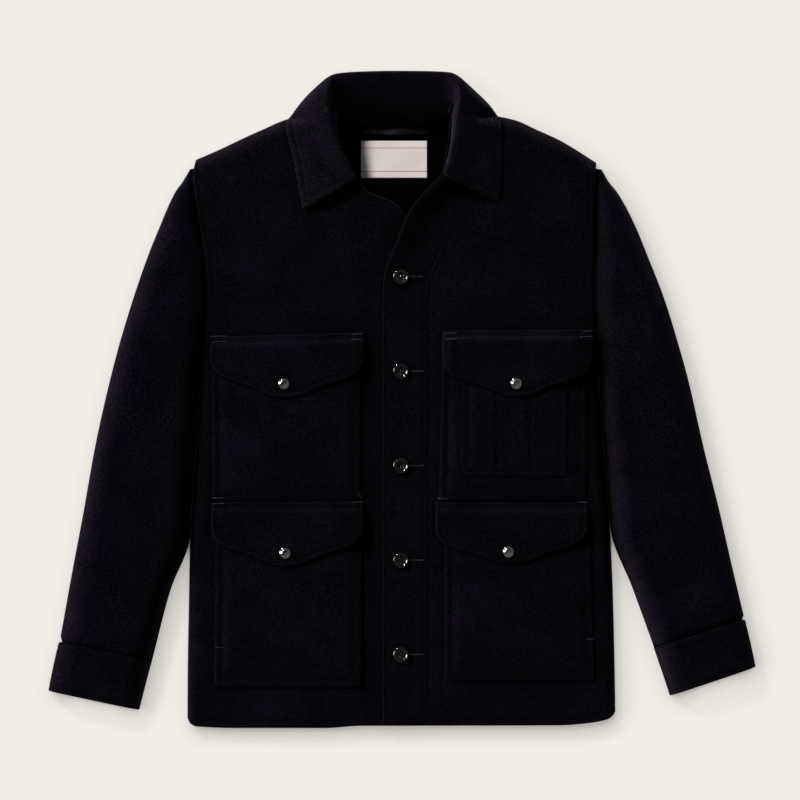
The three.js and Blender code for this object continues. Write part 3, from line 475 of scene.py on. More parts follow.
# %% Back panel
def back_neck(x):
    """Half an ellipse between the neck points."""
    across = np.clip((x - (NECK_LEFT + NECK_RIGHT) / 2) / ((NECK_RIGHT - NECK_LEFT) / 2), -1, 1)
    return NECK_Y - NECK_DIP * np.sqrt(1 - across ** 2)


def back_top_edge(x):
    """Shoulder line, and at the neck the seam line with the allowance that the collar covers."""
    inside = (x > NECK_LEFT) & (x < NECK_RIGHT)
    allowed = np.minimum(back_neck(x) + NECK_ALLOWANCE, NECK_Y + 1)
    return np.where(inside, allowed, read(SHOULDER, "x", "y", x))


BACK_TOP, BACK_HEM = (-246.2, 232.4), (-257.2, 256.0)
BACK_WIDTH, BACK_LENGTH, BACK_FADE = 480, 700, 0.08


def make_back():
    """Columns run from the shoulder or neck to the hem, between the two side edges."""
    share = np.linspace(0, 1, 97)
    top_x = lerp(*BACK_TOP, share)
    top_y = back_top_edge(top_x)
    fine = EDGE_STEPS[:8] / BACK_LENGTH
    down = np.concatenate([fine, np.linspace(0.012, 0.985, 110), 1 - fine[::-1]])
    low_y = read(HEM, "x", "y", lerp(*BACK_HEM, share))
    y = lerp(top_y[None], low_y[None], down[:, None])
    x = lerp(read(SIDES, "y", "left", y), read(SIDES, "y", "right", y), share[None])
    x = lerp(np.broadcast_to(top_x, x.shape), x, smooth(0, BACK_FADE, down[:, None]))
    z = np.full_like(x, WOOL)
    to_edge = np.minimum(y - low_y[None], top_y[None] - y)
    to_side = np.minimum(share, 1 - share)[None] * BACK_WIDTH
    return wall("cloth_back", np.stack([x, y, z], -1), WOOL, np.minimum(to_edge, to_side + 0.4))


back = make_back()

# %% [markdown]
# ## Sleeves and cuffs
#
# A sleeve is a flattened tube. A section starts at its inner end, rises in a quarter circle,
# crosses, turns under at the outer end and runs back along the surface to the underarm seam.
# Near the shoulder the section is open, because there it is sewn into the armhole.

# %% Sleeve sections
SLEEVE_COLUMNS = "inX inY outX outY top open"
SLEEVES = {
    "left": table(
        SLEEVE_COLUMNS,
        (-251, 277, -254.6, 276, 17, 0.7), (-250, 262, -263.6, 261, 22, 1), (-248, 249, -271.4, 250, 25, 1),
        (-246, 234, -279.0, 235, 28, 1), (-242, 208, -290.4, 208, 31, 1), (-236, 168, -306.0, 169, 34, 1),
        (-233, 120, -322.8, 120, 36, 1), (-236, 66, -338.0, 70, 37, 0.75), (-242, 8, -350.6, 22, 36, 0),
        (-248.5, -78, -367.6, -54, 35, 0), (-254.5, -164, -382.6, -138, 34, 0),
        (-278, -228, -394.5, -201, 32, 0), (-300, -312, -410.4, -289, 28, 0)),
    "right": table(
        SLEEVE_COLUMNS,
        (232.2, 277, 239.6, 276, 17, 0.7), (232, 262, 248.4, 261, 22, 1), (231.6, 249, 257.3, 250, 25, 1),
        (231.4, 234, 266.5, 235, 28, 1), (230.4, 208, 280.0, 208, 31, 1), (229.2, 168, 296.0, 169, 34, 1),
        (228, 120, 315.0, 120, 36, 1), (233, 66, 330.5, 70, 37, 0.75), (237.6, 8, 343.8, 22, 36, 0),
        (244, -74, 361.0, -54, 35, 0), (250.8, -156, 380.4, -132, 34, 0),
        (277, -226, 395.0, -196, 32, 0), (302.4, -296, 410.6, -262, 28, 0)),
}
CUFFS = {
    "left": table(
        SLEEVE_COLUMNS,
        (-300.2, -312.8, -411.6, -289.8, 29, 0), (-308, -342, -418.2, -319, 27, 0),
        (-315.6, -371.6, -424.2, -348.5, 25, 0)),
    "right": table(
        SLEEVE_COLUMNS,
        (302.2, -296.8, 411.4, -262.8, 29, 0), (312, -325.5, 418, -291, 27, 0),
        (321.6, -354.5, 424.2, -320, 25, 0)),
}
INNER_TURN, OUTER_TURN, UNDER_TURN, SEAM_HEIGHT = 26, 24, 9, 18
INNER_SHARE, OUTER_SHARE, UNDER_SHARE = 0.42, 0.45, 0.4
CUFF_PROUD = 1.3
ALLOWANCE, LEAST_ALLOWANCE = 4.5, 0.25
SLEEVE_CREASES = {
    "left": table(
        "x0 y0 x1 y1 width depth",
        (-262, 196, -300, 120, 18, 1.0), (-246, 120, -262, 40, 16, -1.2), (-330, 40, -300, 8, 20, -1.0),
        (-262, -40, -300, -66, 18, 1.0), (-350, -86, -310, -110, 18, -1.1),
        (-272, -150, -312, -168, 16, 0.9), (-372, -170, -330, -190, 16, 0.8),
        (-300, -224, -340, -230, 14, -0.9), (-388, -250, -350, -262, 14, 0.8),
        (-256, -110, -262, -190, 14, -1.0)),
    "right": table(
        "x0 y0 x1 y1 width depth",
        (250, 190, 288, 120, 18, 1.0), (240, 118, 258, 34, 16, -1.2), (322, 34, 290, 2, 20, -1.0),
        (262, -36, 300, -60, 18, 1.0), (346, -90, 306, -108, 18, -1.1), (268, -142, 308, -164, 16, 0.9),
        (374, -160, 332, -182, 16, 0.8), (300, -216, 340, -226, 14, -0.9), (392, -236, 352, -252, 14, 0.8),
        (252, -100, 258, -180, 14, -1.0)),
}


def tube_grid(side, source, levels, thickness, proud, hug):
    """Sections of a flattened tube at each level, and the distance of each row from the ends."""
    sign = -1 if side == "left" else 1
    keyed = dict(source, index=np.arange(len(source["top"]), dtype=float))
    values = {key: read(keyed, "index", key, levels) for key in SLEEVE_COLUMNS.split()}
    inner = np.stack([values["inX"], values["inY"]], -1)
    outer = np.stack([values["outX"], values["outY"]], -1)
    if hug:
        body = read(SIDES, "y", side, inner[:, 1]) + sign * 2 * SEAM_GAP
        inner[:, 0] = sign * np.maximum(sign * inner[:, 0], sign * body)
    opened = values["open"][:, None]
    top = values["top"][:, None] + proud
    width = np.linalg.norm(outer - inner, axis=1)[:, None]
    inner_turn = np.minimum(INNER_TURN, width * INNER_SHARE)
    outer_turn = np.minimum(OUTER_TURN, width * OUTER_SHARE)
    under = np.minimum(UNDER_TURN, width * UNDER_SHARE)
    seam = SEAM_HEIGHT * smooth(0, 1, opened)
    steps = TURN_STEPS[None]
    rising = lerp(turned(steps, 1), np.sin(math.pi / 2 * steps), opened)
    share = np.linspace(0, 1, 32)[None, 1:-1]
    tucked = LEAST_ALLOWANCE + ALLOWANCE * smooth(0.2, 1, opened)
    tuck = np.array([[-1, -0.5]])
    parts_x = [tucked * tuck, steps * inner_turn, lerp(inner_turn, width - outer_turn, share),
               width - steps[:, ::-1] * outer_turn,
               width - under * (1 - turned(1 - steps[:, 1:], 1))]
    parts_z = [np.maximum(seam + 0.4 * tucked * tuck, 0), seam + (top - seam) * rising, top + 0 * share,
               under + (top - under) * turned(steps[:, ::-1], 1), under * (1 - steps[:, 1:])]
    seam_end = lerp(thickness + SEAM_GAP, 0.05, smooth(0, 1, opened))
    back_share = np.linspace(0, 1, 26)[None, 1:]
    parts_x.append(lerp(width - under, seam_end, back_share))
    parts_z.append(np.zeros_like(width) + 0 * back_share)
    across, z = (np.concatenate([np.broadcast_to(p, (len(levels), p.shape[1])) for p in parts], 1)
                 for parts in (parts_x, parts_z))
    plan = inner[:, None] + (outer - inner)[:, None] * (across / width)[..., None]
    on_top = smooth(0.5, 0.9, z / top)
    z = z + creases(plan[..., 0], plan[..., 1], SLEEVE_CREASES[side]) * on_top
    grid = np.concatenate([plan, z[..., None]], -1)
    return grid[:, ::-1] if side == "left" else grid


def row_distance(grid):
    """Distance along the sleeve from its first and from its last row."""
    run = np.linalg.norm(np.diff(grid, axis=0), axis=2).cumsum(0)
    run = np.concatenate([np.zeros((1, grid.shape[1])), run])
    return run, run[-1:] - run


CUFF_STITCHES, CUFF_END_STITCH = (1.6, 7.6), 5
SLEEVE_REACH = (1, 2, 3, 4)
END_DRAWN_IN, DRAWN_FROM, DRAWN_FULLY = 2.9, 7, 3.6
CUFF_STEP = 30
NO_EDGE = 99.0


def on_surface(x, y):
    """The surface that the jacket lies on."""
    return np.zeros_like(x)


def make_sleeve(side):
    """A sleeve whose lower end is drawn in, so that it reaches into the cuff."""
    levels = np.linspace(0, len(SLEEVES[side]["top"]) - 1, 190)
    grid = tube_grid(side, SLEEVES[side], levels, WOOL, 0, True)
    onward = unit(grid[-1] - grid[-2])
    grid = np.concatenate([grid] + [(grid[-1] + onward * reach)[None] for reach in SLEEVE_REACH])
    drawn = -END_DRAWN_IN * smooth(DRAWN_FROM, DRAWN_FULLY, row_distance(grid)[1])
    return wall(f"cloth_sleeve_{side}", grid, WOOL, np.full(grid.shape[:2], NO_EDGE),
                puff=drawn, floor=on_surface)


def cuff_grid(side):
    """Points of a cuff and the distance of each from its upper and lower end."""
    inset = EDGE_STEPS / CUFF_STEP
    levels = np.concatenate([inset, np.linspace(inset[-1], 2 - inset[-1], 14)[1:-1], 2 - inset[::-1]])
    grid = tube_grid(side, CUFFS[side], levels, CUFF_WOOL, CUFF_PROUD, False)
    return grid, *row_distance(grid)


def make_cuff(side, grid, from_top, from_end):
    """A cuff with the furrows of its stitches."""
    puff = (sum(furrow(from_top, at, 1.2, 0.6) for at in CUFF_STITCHES)
            + furrow(from_end, CUFF_END_STITCH, 1.2, 0.5))
    return wall(f"cloth_cuff_{side}", grid, CUFF_WOOL, np.minimum(from_top, from_end),
                puff=puff, floor=on_surface)


sleeves, cuffs, cuff_grids = {}, {}, {}
for side in ("left", "right"):
    sleeves[side] = make_sleeve(side)
    cuff_grids[side] = cuff_grid(side)
    cuffs[side] = make_cuff(side, *cuff_grids[side])
    print(side, "sleeve and cuff made")

# %% [markdown]
# ## Collar
#
# The collar is a strip round the neck. At each station its section climbs the stand, rounds the
# fold and comes down the leaf. At the sides the leaf lies on the fronts, and at the back it
# hangs behind the neck.

# %% Collar
COLLAR = table(
    "seamX seamY foldX foldY foldTop edgeX edgeY edgeTop",
    (-54, 264, -57, 262, 41, -119.5, 227, 0), (-64, 283, -68, 284, 44, -125, 258, 0),
    (-73, 306, -78, 307, 47, -131.5, 292, 0), (-78, 332, -86, 335, 49, -139.5, 327, 0),
    (-75.2, 342.8, -89, 362, 51, -129, 346, 15), (-66, 336, -86, 380, 51, -107, 371, 9),
    (-53, 332, -74, 387.5, 50, -86, 383, 4), (-37, 329, -46, 389.5, 49, -50, 385, 3.2),
    (-10, 327.6, -10, 390.3, 48, -10, 385, 3.2), (18, 329, 26, 390, 49, 28, 385, 3.2),
    (34, 332, 53, 389, 50, 62, 384, 4), (47, 336, 67, 380, 51, 86, 371, 9),
    (58, 344, 70, 362, 51, 110, 347, 15), (59.5, 332, 67, 335, 50, 119.5, 328, 0),
    (58.5, 315, 65, 315, 50, 120, 299, 0), (55.3, 294, 61, 292, 49.5, 119, 268, 0),
    (48.5, 269, 53, 267, 49, 116.6, 236.4, 0))
COLLAR_BOW, COLLAR_FOLD, COLLAR_SPARE = 8, 9, 3.0
COLLAR_STITCH = 7.5
COLLAR_STEP, LEAF_STEP = 24, 62
STAND_PULL, LEAF_PULL, BACK_TILT, FRONT_DROP = 2.2, 3, 0.7, 0.35
STAND_ROWS, TUCK_ROWS, TUCK_START, TUCK_END, TUCK_DEPTH = 36, 4, 4, 12, 5.0
TUCK_BLEND, TUCK_NEAR, TUCK_FAR, LEAST_TUCK = 0.2, 1.4, 2.0, 0.08


def body_top(x, y):
    """Upper face of whatever part of the body lies at a place in plan."""
    near = 3
    below = read(SHOULDER, "x", "y", x) + near - y
    spare = COLLAR_SPARE * (1 - smooth(SHOULDER_TURN, SHOULDER_TURN + 12, below))
    on_lower = (below > 0) & (x < read(LOWER_EDGE, "y", "x", y) + near)
    on_upper = (below > 0) & (x > read(UPPER_EDGE, "y", "x", y) - near)
    rest = np.where(y < back_neck(x) + 2 * near, WOOL, 0)
    return np.where(on_lower, lower_front_top(x, y) + spare,
                    np.where(on_upper, upper_front_top(x, y) + spare, rest))


def hermite(start, start_slope, end, end_slope, t):
    """Cubic from start to end with given slopes at both."""
    t = t[None, :, None]
    a, b, c, d = (v[:, None] for v in (start, start_slope, end, end_slope))
    return ((1 + 2 * t) * (1 - t) ** 2 * a + t * (1 - t) ** 2 * b
            + t * t * (3 - 2 * t) * c + t * t * (t - 1) * d)


def share_between(start, end, ease, at):
    """A share that rises to one before start and falls back to nothing after end."""
    return smooth(start - ease[1], start - ease[0], at) * (1 - smooth(end + ease[0], end + ease[1], at))


def collar_grid():
    """Sections of the collar at even stations, and the distance of each point from the leaf's
    edge and from the collar's ends. Where the seam steps down from the fronts to the back, a
    short allowance hangs below it, so that nothing shows through the corner."""
    inset = EDGE_STEPS / COLLAR_STEP
    last = len(COLLAR["seamX"]) - 1
    even = np.linspace(inset[-1], last - inset[-1], 150)[1:-1]
    at = np.concatenate([inset, even, last - inset[::-1]])
    keyed = dict(COLLAR, index=np.arange(last + 1, dtype=float))
    value = {key: read(keyed, "index", key, at) for key in COLLAR}
    flat = np.zeros_like(at)
    seam = np.stack([value["seamX"], value["seamY"], flat], -1)
    fold = np.stack([value["foldX"], value["foldY"], value["foldTop"]], -1)
    edge = np.stack([value["edgeX"], value["edgeY"], flat], -1)
    on_front = 1 - smooth(0, 6, value["edgeTop"])
    laid = torso_top(edge[:, 0], edge[:, 1]) + LAYER_GAP + COLLAR_WOOL
    edge[:, 2] = lerp(value["edgeTop"], laid, on_front)
    seam[:, 2] = body_top(seam[:, 0], seam[:, 1]) + LAYER_GAP
    plan = np.array([1.0, 1.0, 0.0])
    outward = unit((edge - seam) * plan)
    back = unit((fold - seam) * plan)
    outward = unit(outward + (back - outward) * (BACK_TILT * (1 - on_front))[:, None])
    over = outward * COLLAR_FOLD
    rise = np.stack([flat, flat, fold[:, 2] - seam[:, 2]], -1)
    stand = hermite(seam, rise, fold, over * STAND_PULL, np.linspace(0, 1, STAND_ROWS))
    drop = np.stack([flat, flat, -(fold[:, 2] - edge[:, 2]) * lerp(1, FRONT_DROP, on_front)], -1)
    settle = (edge - fold) * plan * on_front[:, None] + drop
    length = np.linalg.norm(edge - fold, axis=1)
    fine = 1 - EDGE_STEPS[::-1] / LEAF_STEP
    steps = np.concatenate([np.linspace(0, fine[0], 40)[1:-1], fine])
    leaf = hermite(fold, over * LEAF_PULL, edge, settle, steps)
    section = np.concatenate([stand, leaf], 1)
    down = np.concatenate([np.zeros(STAND_ROWS), steps])[None]
    on_leaf = (np.arange(section.shape[1]) >= STAND_ROWS)[None]
    resting = body_top(section[..., 0], section[..., 1]) + LAYER_GAP + COLLAR_WOOL * on_leaf
    bow = on_front[:, None] * COLLAR_BOW * np.sin(math.pi * down)
    section[..., 2] = np.maximum(section[..., 2], resting + bow)
    room = np.maximum(0, section[:, 0, 2] - WOOL - LAYER_GAP)
    at_corners = share_between(TUCK_START, TUCK_END, (0, TUCK_BLEND), at)
    beside = share_between(TUCK_START, TUCK_END, (TUCK_NEAR, TUCK_FAR), at)
    tuck = np.maximum(room * at_corners, np.minimum(room, TUCK_DEPTH * beside)) + LEAST_TUCK
    share = np.linspace(1, 0, TUCK_ROWS + 1)[None, :-1, None]
    tucked = section[:, :1] - tuck[:, None, None] * share * np.array([0, 0, 1.0])
    section = np.concatenate([tucked, section], 1)
    down = np.concatenate([np.zeros((1, TUCK_ROWS)), down], 1)
    grid = section.transpose(1, 0, 2)[::-1]
    to_edge = np.broadcast_to(((1 - down) * length[:, None]).T[::-1], grid.shape[:2])
    ends = np.minimum(at - at[0], at[-1] - at) * COLLAR_STEP
    return grid, to_edge, np.broadcast_to(ends[None], grid.shape[:2])


collar_at, to_leaf_edge, to_front_end = collar_grid()
COLLAR_ROWS, COLLAR_COLUMNS = collar_at.shape[:2]
LEAF_ROWS = COLLAR_ROWS - STAND_ROWS - TUCK_ROWS
FAR_AWAY, FAR_BELOW = 40, 60.0
row_of = np.arange(COLLAR_ROWS)[:, None]
off_leaf = FAR_AWAY * (row_of >= LEAF_ROWS)
in_tuck = FAR_BELOW * (row_of >= COLLAR_ROWS - TUCK_ROWS)
puff = furrow(np.minimum(to_leaf_edge, to_front_end + off_leaf), COLLAR_STITCH, 1.6, 1.0)
collar = wall("cloth_collar", collar_at, COLLAR_WOOL, np.minimum(to_leaf_edge, to_front_end),
              puff=puff, floor=lambda x, y: body_top(x, y) + LAYER_GAP - in_tuck)
print("collar", collar_at.shape)

# %% [markdown]
# ## Pockets
#
# The four patch pockets stand off the body on turned-down sides, and one of them carries a
# narrow patch divided for pens. Each follows the body's surface, moved out.

# %% Patch pockets
Patch = namedtuple("Patch", "top_left top_right left right top bottom foot")
POCKETS = {
    "pocket_upper_left": Patch(-228, -49, -227, -48.6, 59, -120.9, 2.4),
    "pocket_lower_left": Patch(-222.8, -48, -225, -48, -139.5, -343.6, 3.6),
    "pocket_upper_right": Patch(48, 222.4, 44, 221, 59, -121.2, 2.4),
    "pocket_lower_right": Patch(50.8, 225.4, 50.8, 231, -139.5, -336.4, 3.6),
}
UTILITY = Patch(71.6, 199.2, 70, 196.8, 40, -92.4, 2.2)
DIVISIONS = (112.8, 153.2)
POCKET_STITCHES = (1.8, 7.4)
MARGIN_SHARE, MARGIN_WIDTH, MARGIN_EASE = 0.58, 7.0, 12.0
BESIDE_TURN = np.array([1.0, 2.0, 3.0, 4.2])
POCKET_SAG, UTILITY_SAG = 0.8, 0.2


def patch_sides(patch, y):
    """Left and right edge of a patch at a level."""
    down = (patch.top - y) / (patch.top - patch.bottom)
    return lerp(patch.top_left, patch.left, down), lerp(patch.top_right, patch.right, down)


def patch_top(patch, base, rise, turn, x, y):
    """Height of a patch: its base plus the rise. It turns down tightly at both sides and at the
    foot, lies low as far as its second row of stitches, and swells to its full height inside."""
    left, right = patch_sides(patch, y)
    to_side = np.maximum(0, np.minimum(x - left, right - x))
    to_foot = np.maximum(0, y - patch.bottom)
    corner = turned(to_side, turn) * turned(to_foot, patch.foot)
    within = np.minimum(to_side, to_foot)
    swell = MARGIN_SHARE + (1 - MARGIN_SHARE) * smooth(MARGIN_WIDTH, MARGIN_WIDTH + MARGIN_EASE, within)
    return base(x, y) + LAYER_GAP + (rise - LAYER_GAP) * corner * swell


def make_patch(name, patch, base, rise, turn, thickness, dip, divided=False):
    """Patch on a surface, with finer steps where it turns down and beside its stitches."""
    near, foot = (np.concatenate([TURN_STEPS * reach, reach + BESIDE_TURN])
                  for reach in (turn, patch.foot))
    down = spread(patch.top - patch.bottom, [0, 1], 58, foot)
    y = patch.top - down
    left, right = patch_sides(patch, y)
    across = spread(right - left, near, 56, near)
    x = left[:, None] + across
    y = np.broadcast_to(y[:, None], x.shape)
    z = patch_top(patch, base, rise, turn, x, y)
    to_side = np.minimum(across, (right - left)[:, None] - across)
    to_edge = np.minimum(to_side, y - patch.bottom)
    bulge = np.sin(math.pi * across / (right - left)[:, None]) ** 2
    sag = dip * bulge * np.sin(math.pi * down / down[-1])[:, None]
    puff = sum(furrow(to_edge, at, 1.2, 0.7) for at in POCKET_STITCHES) + sag
    if divided:
        puff = puff + sum(furrow(x, at, 1.6, 1.0) for at in DIVISIONS)
    return wall(name, np.stack([x, y, z], -1), thickness, np.full(x.shape, NO_EDGE), puff=puff,
                floor=lambda px, py: base(px, py) + LAYER_GAP * 0.8)


def pocket_top(patch, x, y):
    """Upper face of a pocket."""
    return patch_top(patch, front_under, POCKET_RISE, POCKET_TURN, x, y)


def on_pocket(x, y):
    """Upper face of the pocket that carries the narrow patch."""
    return pocket_top(POCKETS["pocket_upper_right"], x, y)


def utility_top(x, y):
    """Upper face of the narrow patch."""
    return patch_top(UTILITY, on_pocket, UTILITY_RISE, UTILITY_TURN, x, y)


patches = {name: make_patch(f"cloth_{name}", patch, front_under, POCKET_RISE, POCKET_TURN,
                            POCKET_WOOL, POCKET_SAG) for name, patch in POCKETS.items()}
patches["pocket_utility"] = make_patch("cloth_pocket_utility", UTILITY, on_pocket, UTILITY_RISE,
                                       UTILITY_TURN, UTILITY_WOOL, UTILITY_SAG, divided=True)
print(len(patches), "patches")

# %% [markdown]
# ## Flaps
#
# A flap is sewn down along its upper edge, climbs on to its pocket and hangs to a scalloped
# edge with a rounded point, where the snap holds it.

# %% Flaps
Flap = namedtuple("Flap", "left right top_left top_right corner tip_x tip_y")
FLAPS = {
    "upper_left": Flap(-229.4, -45.2, 76, 81, 47, -141, 2.6),
    "lower_left": Flap(-228.2, -45.8, -121.5, -121.5, -157, -138.6, -198.8),
    "upper_right": Flap(48, 228.6, 83.6, 84.6, 46, 138, 4.4),
    "lower_right": Flap(40, 222, -122, -122, -157, 130.6, -196),
}
SCALLOP = table(
    "across drop",
    (0, 1), (0.12, 0.98), (0.25, 0.9), (0.42, 0.73), (0.6, 0.6), (0.8, 0.46), (0.91, 0.3), (0.98, 0.11),
    (1, 0))
FLAP_STITCH, SEAM_FURROW, SEAM_STITCHES = 6.0, 6.5, (1.8, 6.5)
LIFT_LEFT, LIFT_RIGHT = (24, 11), (3, 24)


def utility_lift(x):
    """Extra height of the flap where it lies over the narrow patch."""
    start, end = UTILITY.top_left, UTILITY.top_right
    return (UTILITY_RISE * smooth(start - LIFT_LEFT[0], start - LIFT_LEFT[1], x)
            * (1 - smooth(end + LIFT_RIGHT[0], end + LIFT_RIGHT[1], x)))


def flap_seam(flap, x):
    """Level of the straight seam along a flap's upper edge."""
    return lerp(flap.top_left, flap.top_right, (x - flap.left) / (flap.right - flap.left))


def flap_top(name, x, y):
    """Upper face of a flap, which lies on the front at its seam and steps up on to the pocket."""
    step = POCKET_RISE + (utility_lift(x) if name == "upper_right" else 0)
    below_seam = flap_seam(FLAPS[name], x) - y
    return front_under(x, y) + LAYER_GAP + FLAP_WOOL + step * smooth(0, FLAP_STEP, below_seam)


def flap_lower(name, x):
    """Scalloped edge: corner level plus the share of the drop read from the scallop's table."""
    flap = FLAPS[name]
    reach = np.where(x < flap.tip_x, flap.tip_x - flap.left, flap.right - flap.tip_x)
    drop = read(SCALLOP, "across", "drop", np.abs(x - flap.tip_x) / reach)
    return flap.corner + (flap.tip_y - flap.corner) * drop


def make_flap(name):
    """A flap from its seam to its scalloped edge, with the furrows of its stitches."""
    flap = FLAPS[name]
    width = flap.right - flap.left
    across = spread(width, EDGE_STEPS, 54, EDGE_STEPS)
    x = flap.left + across
    sewn = flap_seam(flap, x)
    lower = flap_lower(name, x)
    down = spread(sewn - lower, EDGE_STEPS[:8], 20, EDGE_STEPS).T
    y = sewn[None] - down
    x = np.broadcast_to(x[None], y.shape)
    z = flap_top(name, x, y)
    slope = np.gradient(lower, x[0])
    to_lower = (y - lower[None]) / np.sqrt(1 + slope[None] ** 2)
    to_side = np.minimum(across, width - across)[None]
    to_free = np.minimum(to_lower, to_side)
    puff = furrow(to_free, FLAP_STITCH, 1.4, 0.7) + furrow(down, SEAM_FURROW, 1.7, 1.1)
    return wall(f"cloth_flap_{name}", np.stack([x, y, z], -1), FLAP_WOOL,
                np.minimum(to_free, down), puff=puff)


flaps = {name: make_flap(name) for name in FLAPS}
print(len(flaps), "flaps")

# %% [markdown]
# ## Topstitching
#
# Tone-on-tone thread runs along nearly every edge. The bars at the pocket corners are sewn in a
# lighter thread, and so are the buttonholes.


# %% Runs on the fronts, collar and cuffs
def edge_line(inner_table, offset, start, end, top):
    """A line beside an inner edge, a fixed distance in."""
    y = np.linspace(start, end, 260)
    return lay(read(inner_table, "y", "x", y) + offset, y, top)


def line_at(grid, distance, at):
    """The point of each column of a grid where a distance from an edge has a given value."""
    if distance[0, 0] > distance[-1, 0]:
        grid, distance = grid[::-1], distance[::-1]
    return np.array([[np.interp(at, distance[:, j], grid[:, j, k]) for k in range(3)]
                     for j in range(grid.shape[1])])


TOP_BUTTON_Y = 147.6
CUFF_RUN_LEVEL = 6
count = 0
for side, sign, top in (("left", 1, lower_front_top), ("right", -1, upper_front_top)):
    y = np.linspace(276, 24, 160)
    count += stitch_run(lay(read(SIDES, "y", side, y) + sign * ARMHOLE_STITCH, y, top))
    x = np.linspace(*((-250, OVERLAP_EDGE - 2) if side == "left" else (OVERLAP_EDGE + 5, 250)), 150)
    count += stitch_run(lay(x, read(HEM, "x", "y", x) + HEM_STITCH, top))
count += stitch_run(edge_line(UPPER_EDGE, EDGE_STITCH, 262, -386, upper_front_top))
for x in BAND_STITCHES:
    count += stitch_run(straight((x, 190), (x, -388), upper_front_top))
count += stitch_run(edge_line(LOWER_EDGE, -EDGE_STITCH, 258, 226, lower_front_top))
for cuff, from_top, from_end in cuff_grids.values():
    for distance, at in [(from_top, a) for a in CUFF_STITCHES] + [(from_end, CUFF_END_STITCH)]:
        row = line_at(cuff[:, ::2], distance[:, ::2], at)
        count += stitch_run(row[row[:, 2] > CUFF_RUN_LEVEL] + [0, 0, 0.1])
print(count, "stitches so far")

# %% Runs on the collar, pockets and flaps
LEAF_RUN, END_RUN = 70, 40
columns = np.arange(COLLAR_COLUMNS)
for part in (columns[:LEAF_RUN], columns[-LEAF_RUN:]):
    part = part[to_front_end[0, part] >= COLLAR_STITCH]
    line = line_at(collar_at[:LEAF_ROWS, part], to_leaf_edge[:LEAF_ROWS, part], COLLAR_STITCH)
    count += stitch_run(line + [0, 0, 0.05])
rows = np.arange(8, LEAF_ROWS - 6)
rows = rows[to_leaf_edge[rows, 0] >= COLLAR_STITCH]
for part in (columns[:END_RUN], columns[:-END_RUN:-1]):
    line = line_at(collar_at[np.ix_(rows, part)].transpose(1, 0, 2),
                   to_front_end[np.ix_(rows, part)].T, COLLAR_STITCH)
    count += stitch_run(line + [0, 0, 0.05])


def patch_line(patch, inset, top, upper):
    """Down the left side, across the bottom and up the right side, a fixed distance in."""
    low = patch.bottom + inset
    y = np.linspace(upper, low, 60)
    left, right = patch_sides(patch, y)
    x = np.linspace(left[-1] + inset, right[-1] - inset, 60)
    down = lay(left + inset, y, top)
    return np.concatenate([down, lay(x, low, top), lay(right - inset, y, top)[::-1]])


def flap_runs(name):
    """Round a flap's two sides and its scallop, and two lines below its seam."""
    flap = FLAPS[name]
    near, far = flap.left + FLAP_STITCH, flap.right - FLAP_STITCH
    x = np.linspace(near, far, 120)
    low = flap_lower(name, x)
    inside = low + FLAP_STITCH * np.sqrt(1 + np.gradient(low, x) ** 2)
    low = np.minimum(inside, flap.corner + CORNER_ROOM)
    upper = lerp(flap.top_left, flap.top_right, 0.5) - RUN_START

    def top(x, y):
        """Upper face of this flap."""
        return flap_top(name, x, y)

    yield np.concatenate([straight((near, upper), (near, low[0]), top), lay(x, low, top),
                          straight((far, low[-1]), (far, upper), top)])
    for inset in SEAM_STITCHES:
        yield straight((flap.left + 2, flap.top_left - inset), (flap.right - 2, flap.top_right - inset), top)


CORNER_ROOM, RUN_START = 22, 8
UTILITY_STITCHES, DIVISION_ENDS = (2.2, 8.2), (34, -84)
for patch in POCKETS.values():
    for inset in POCKET_STITCHES:
        count += stitch_run(patch_line(patch, max(inset, POCKET_TURN * 0.75),
                                       lambda x, y: pocket_top(patch, x, y), patch.top - 4))
for inset in UTILITY_STITCHES:
    count += stitch_run(patch_line(UTILITY, inset, utility_top, UTILITY.top - 6))
for x in DIVISIONS:
    count += stitch_run(straight((x, DIVISION_ENDS[0]), (x, DIVISION_ENDS[1]), utility_top))
for name in FLAPS:
    count += sum(stitch_run(line) for line in flap_runs(name))
print(count, "stitches")

# %% Bars and buttonholes
BARS = table(
    "x0 y0 x1 y1",
    (-229, 76, -211, 76.6), (-226, 69.6, -210.5, 69.9), (-60, 78.6, -46.5, 79.2), (-61, 72.2, -48.5, 72.9),
    (-226.5, -124.5, -212.4, -123.6), (-226.5, -117.4, -214, -117), (-59, -122.5, -47, -121.6),
    (-50.6, -113, -47.6, -121), (52.8, 72.6, 66, 73.4), (51, 79.6, 66, 80.4), (213, 75.6, 229, 76.2),
    (216, 82, 229, 82.6), (42.4, -117.6, 55.8, -118.2), (208, -121.8, 221, -122.4),
    (-223.5, -296.4, -214, -296.4), (220.6, -286.4, 230.5, -286.4))


def highest(x, y):
    """Height of the topmost cloth at a place, for trim that is sewn through all of it."""
    z = front_under(x, y)
    for patch in POCKETS.values():
        left, right = patch_sides(patch, y)
        inside = (x > left) & (x < right) & (y < patch.top) & (y > patch.bottom)
        z = np.where(inside, pocket_top(patch, x, y), z)
    for name, flap in FLAPS.items():
        lower = flap_lower(name, np.clip(x, flap.left, flap.right))
        inside = (x > flap.left) & (x < flap.right) & (y < flap_seam(flap, x)) & (y > lower)
        z = np.where(inside, flap_top(name, x, y), z)
    return z


BUTTON_COUNT, BUTTON_X, BUTTON_SPACING = 5, -1.2, 113.1
BUTTON_LEVELS = TOP_BUTTON_Y - np.arange(BUTTON_COUNT) * BUTTON_SPACING
HOLE_START, HOLE_END, HOLE_PITCH = 10.5, 24.5, 0.85
HOLE_NARROW, HOLE_WIDEN, HOLE_HALF = 0.35, 0.55, 0.7
END_BAR_X, END_BAR_HALF = 25.0, 1.4


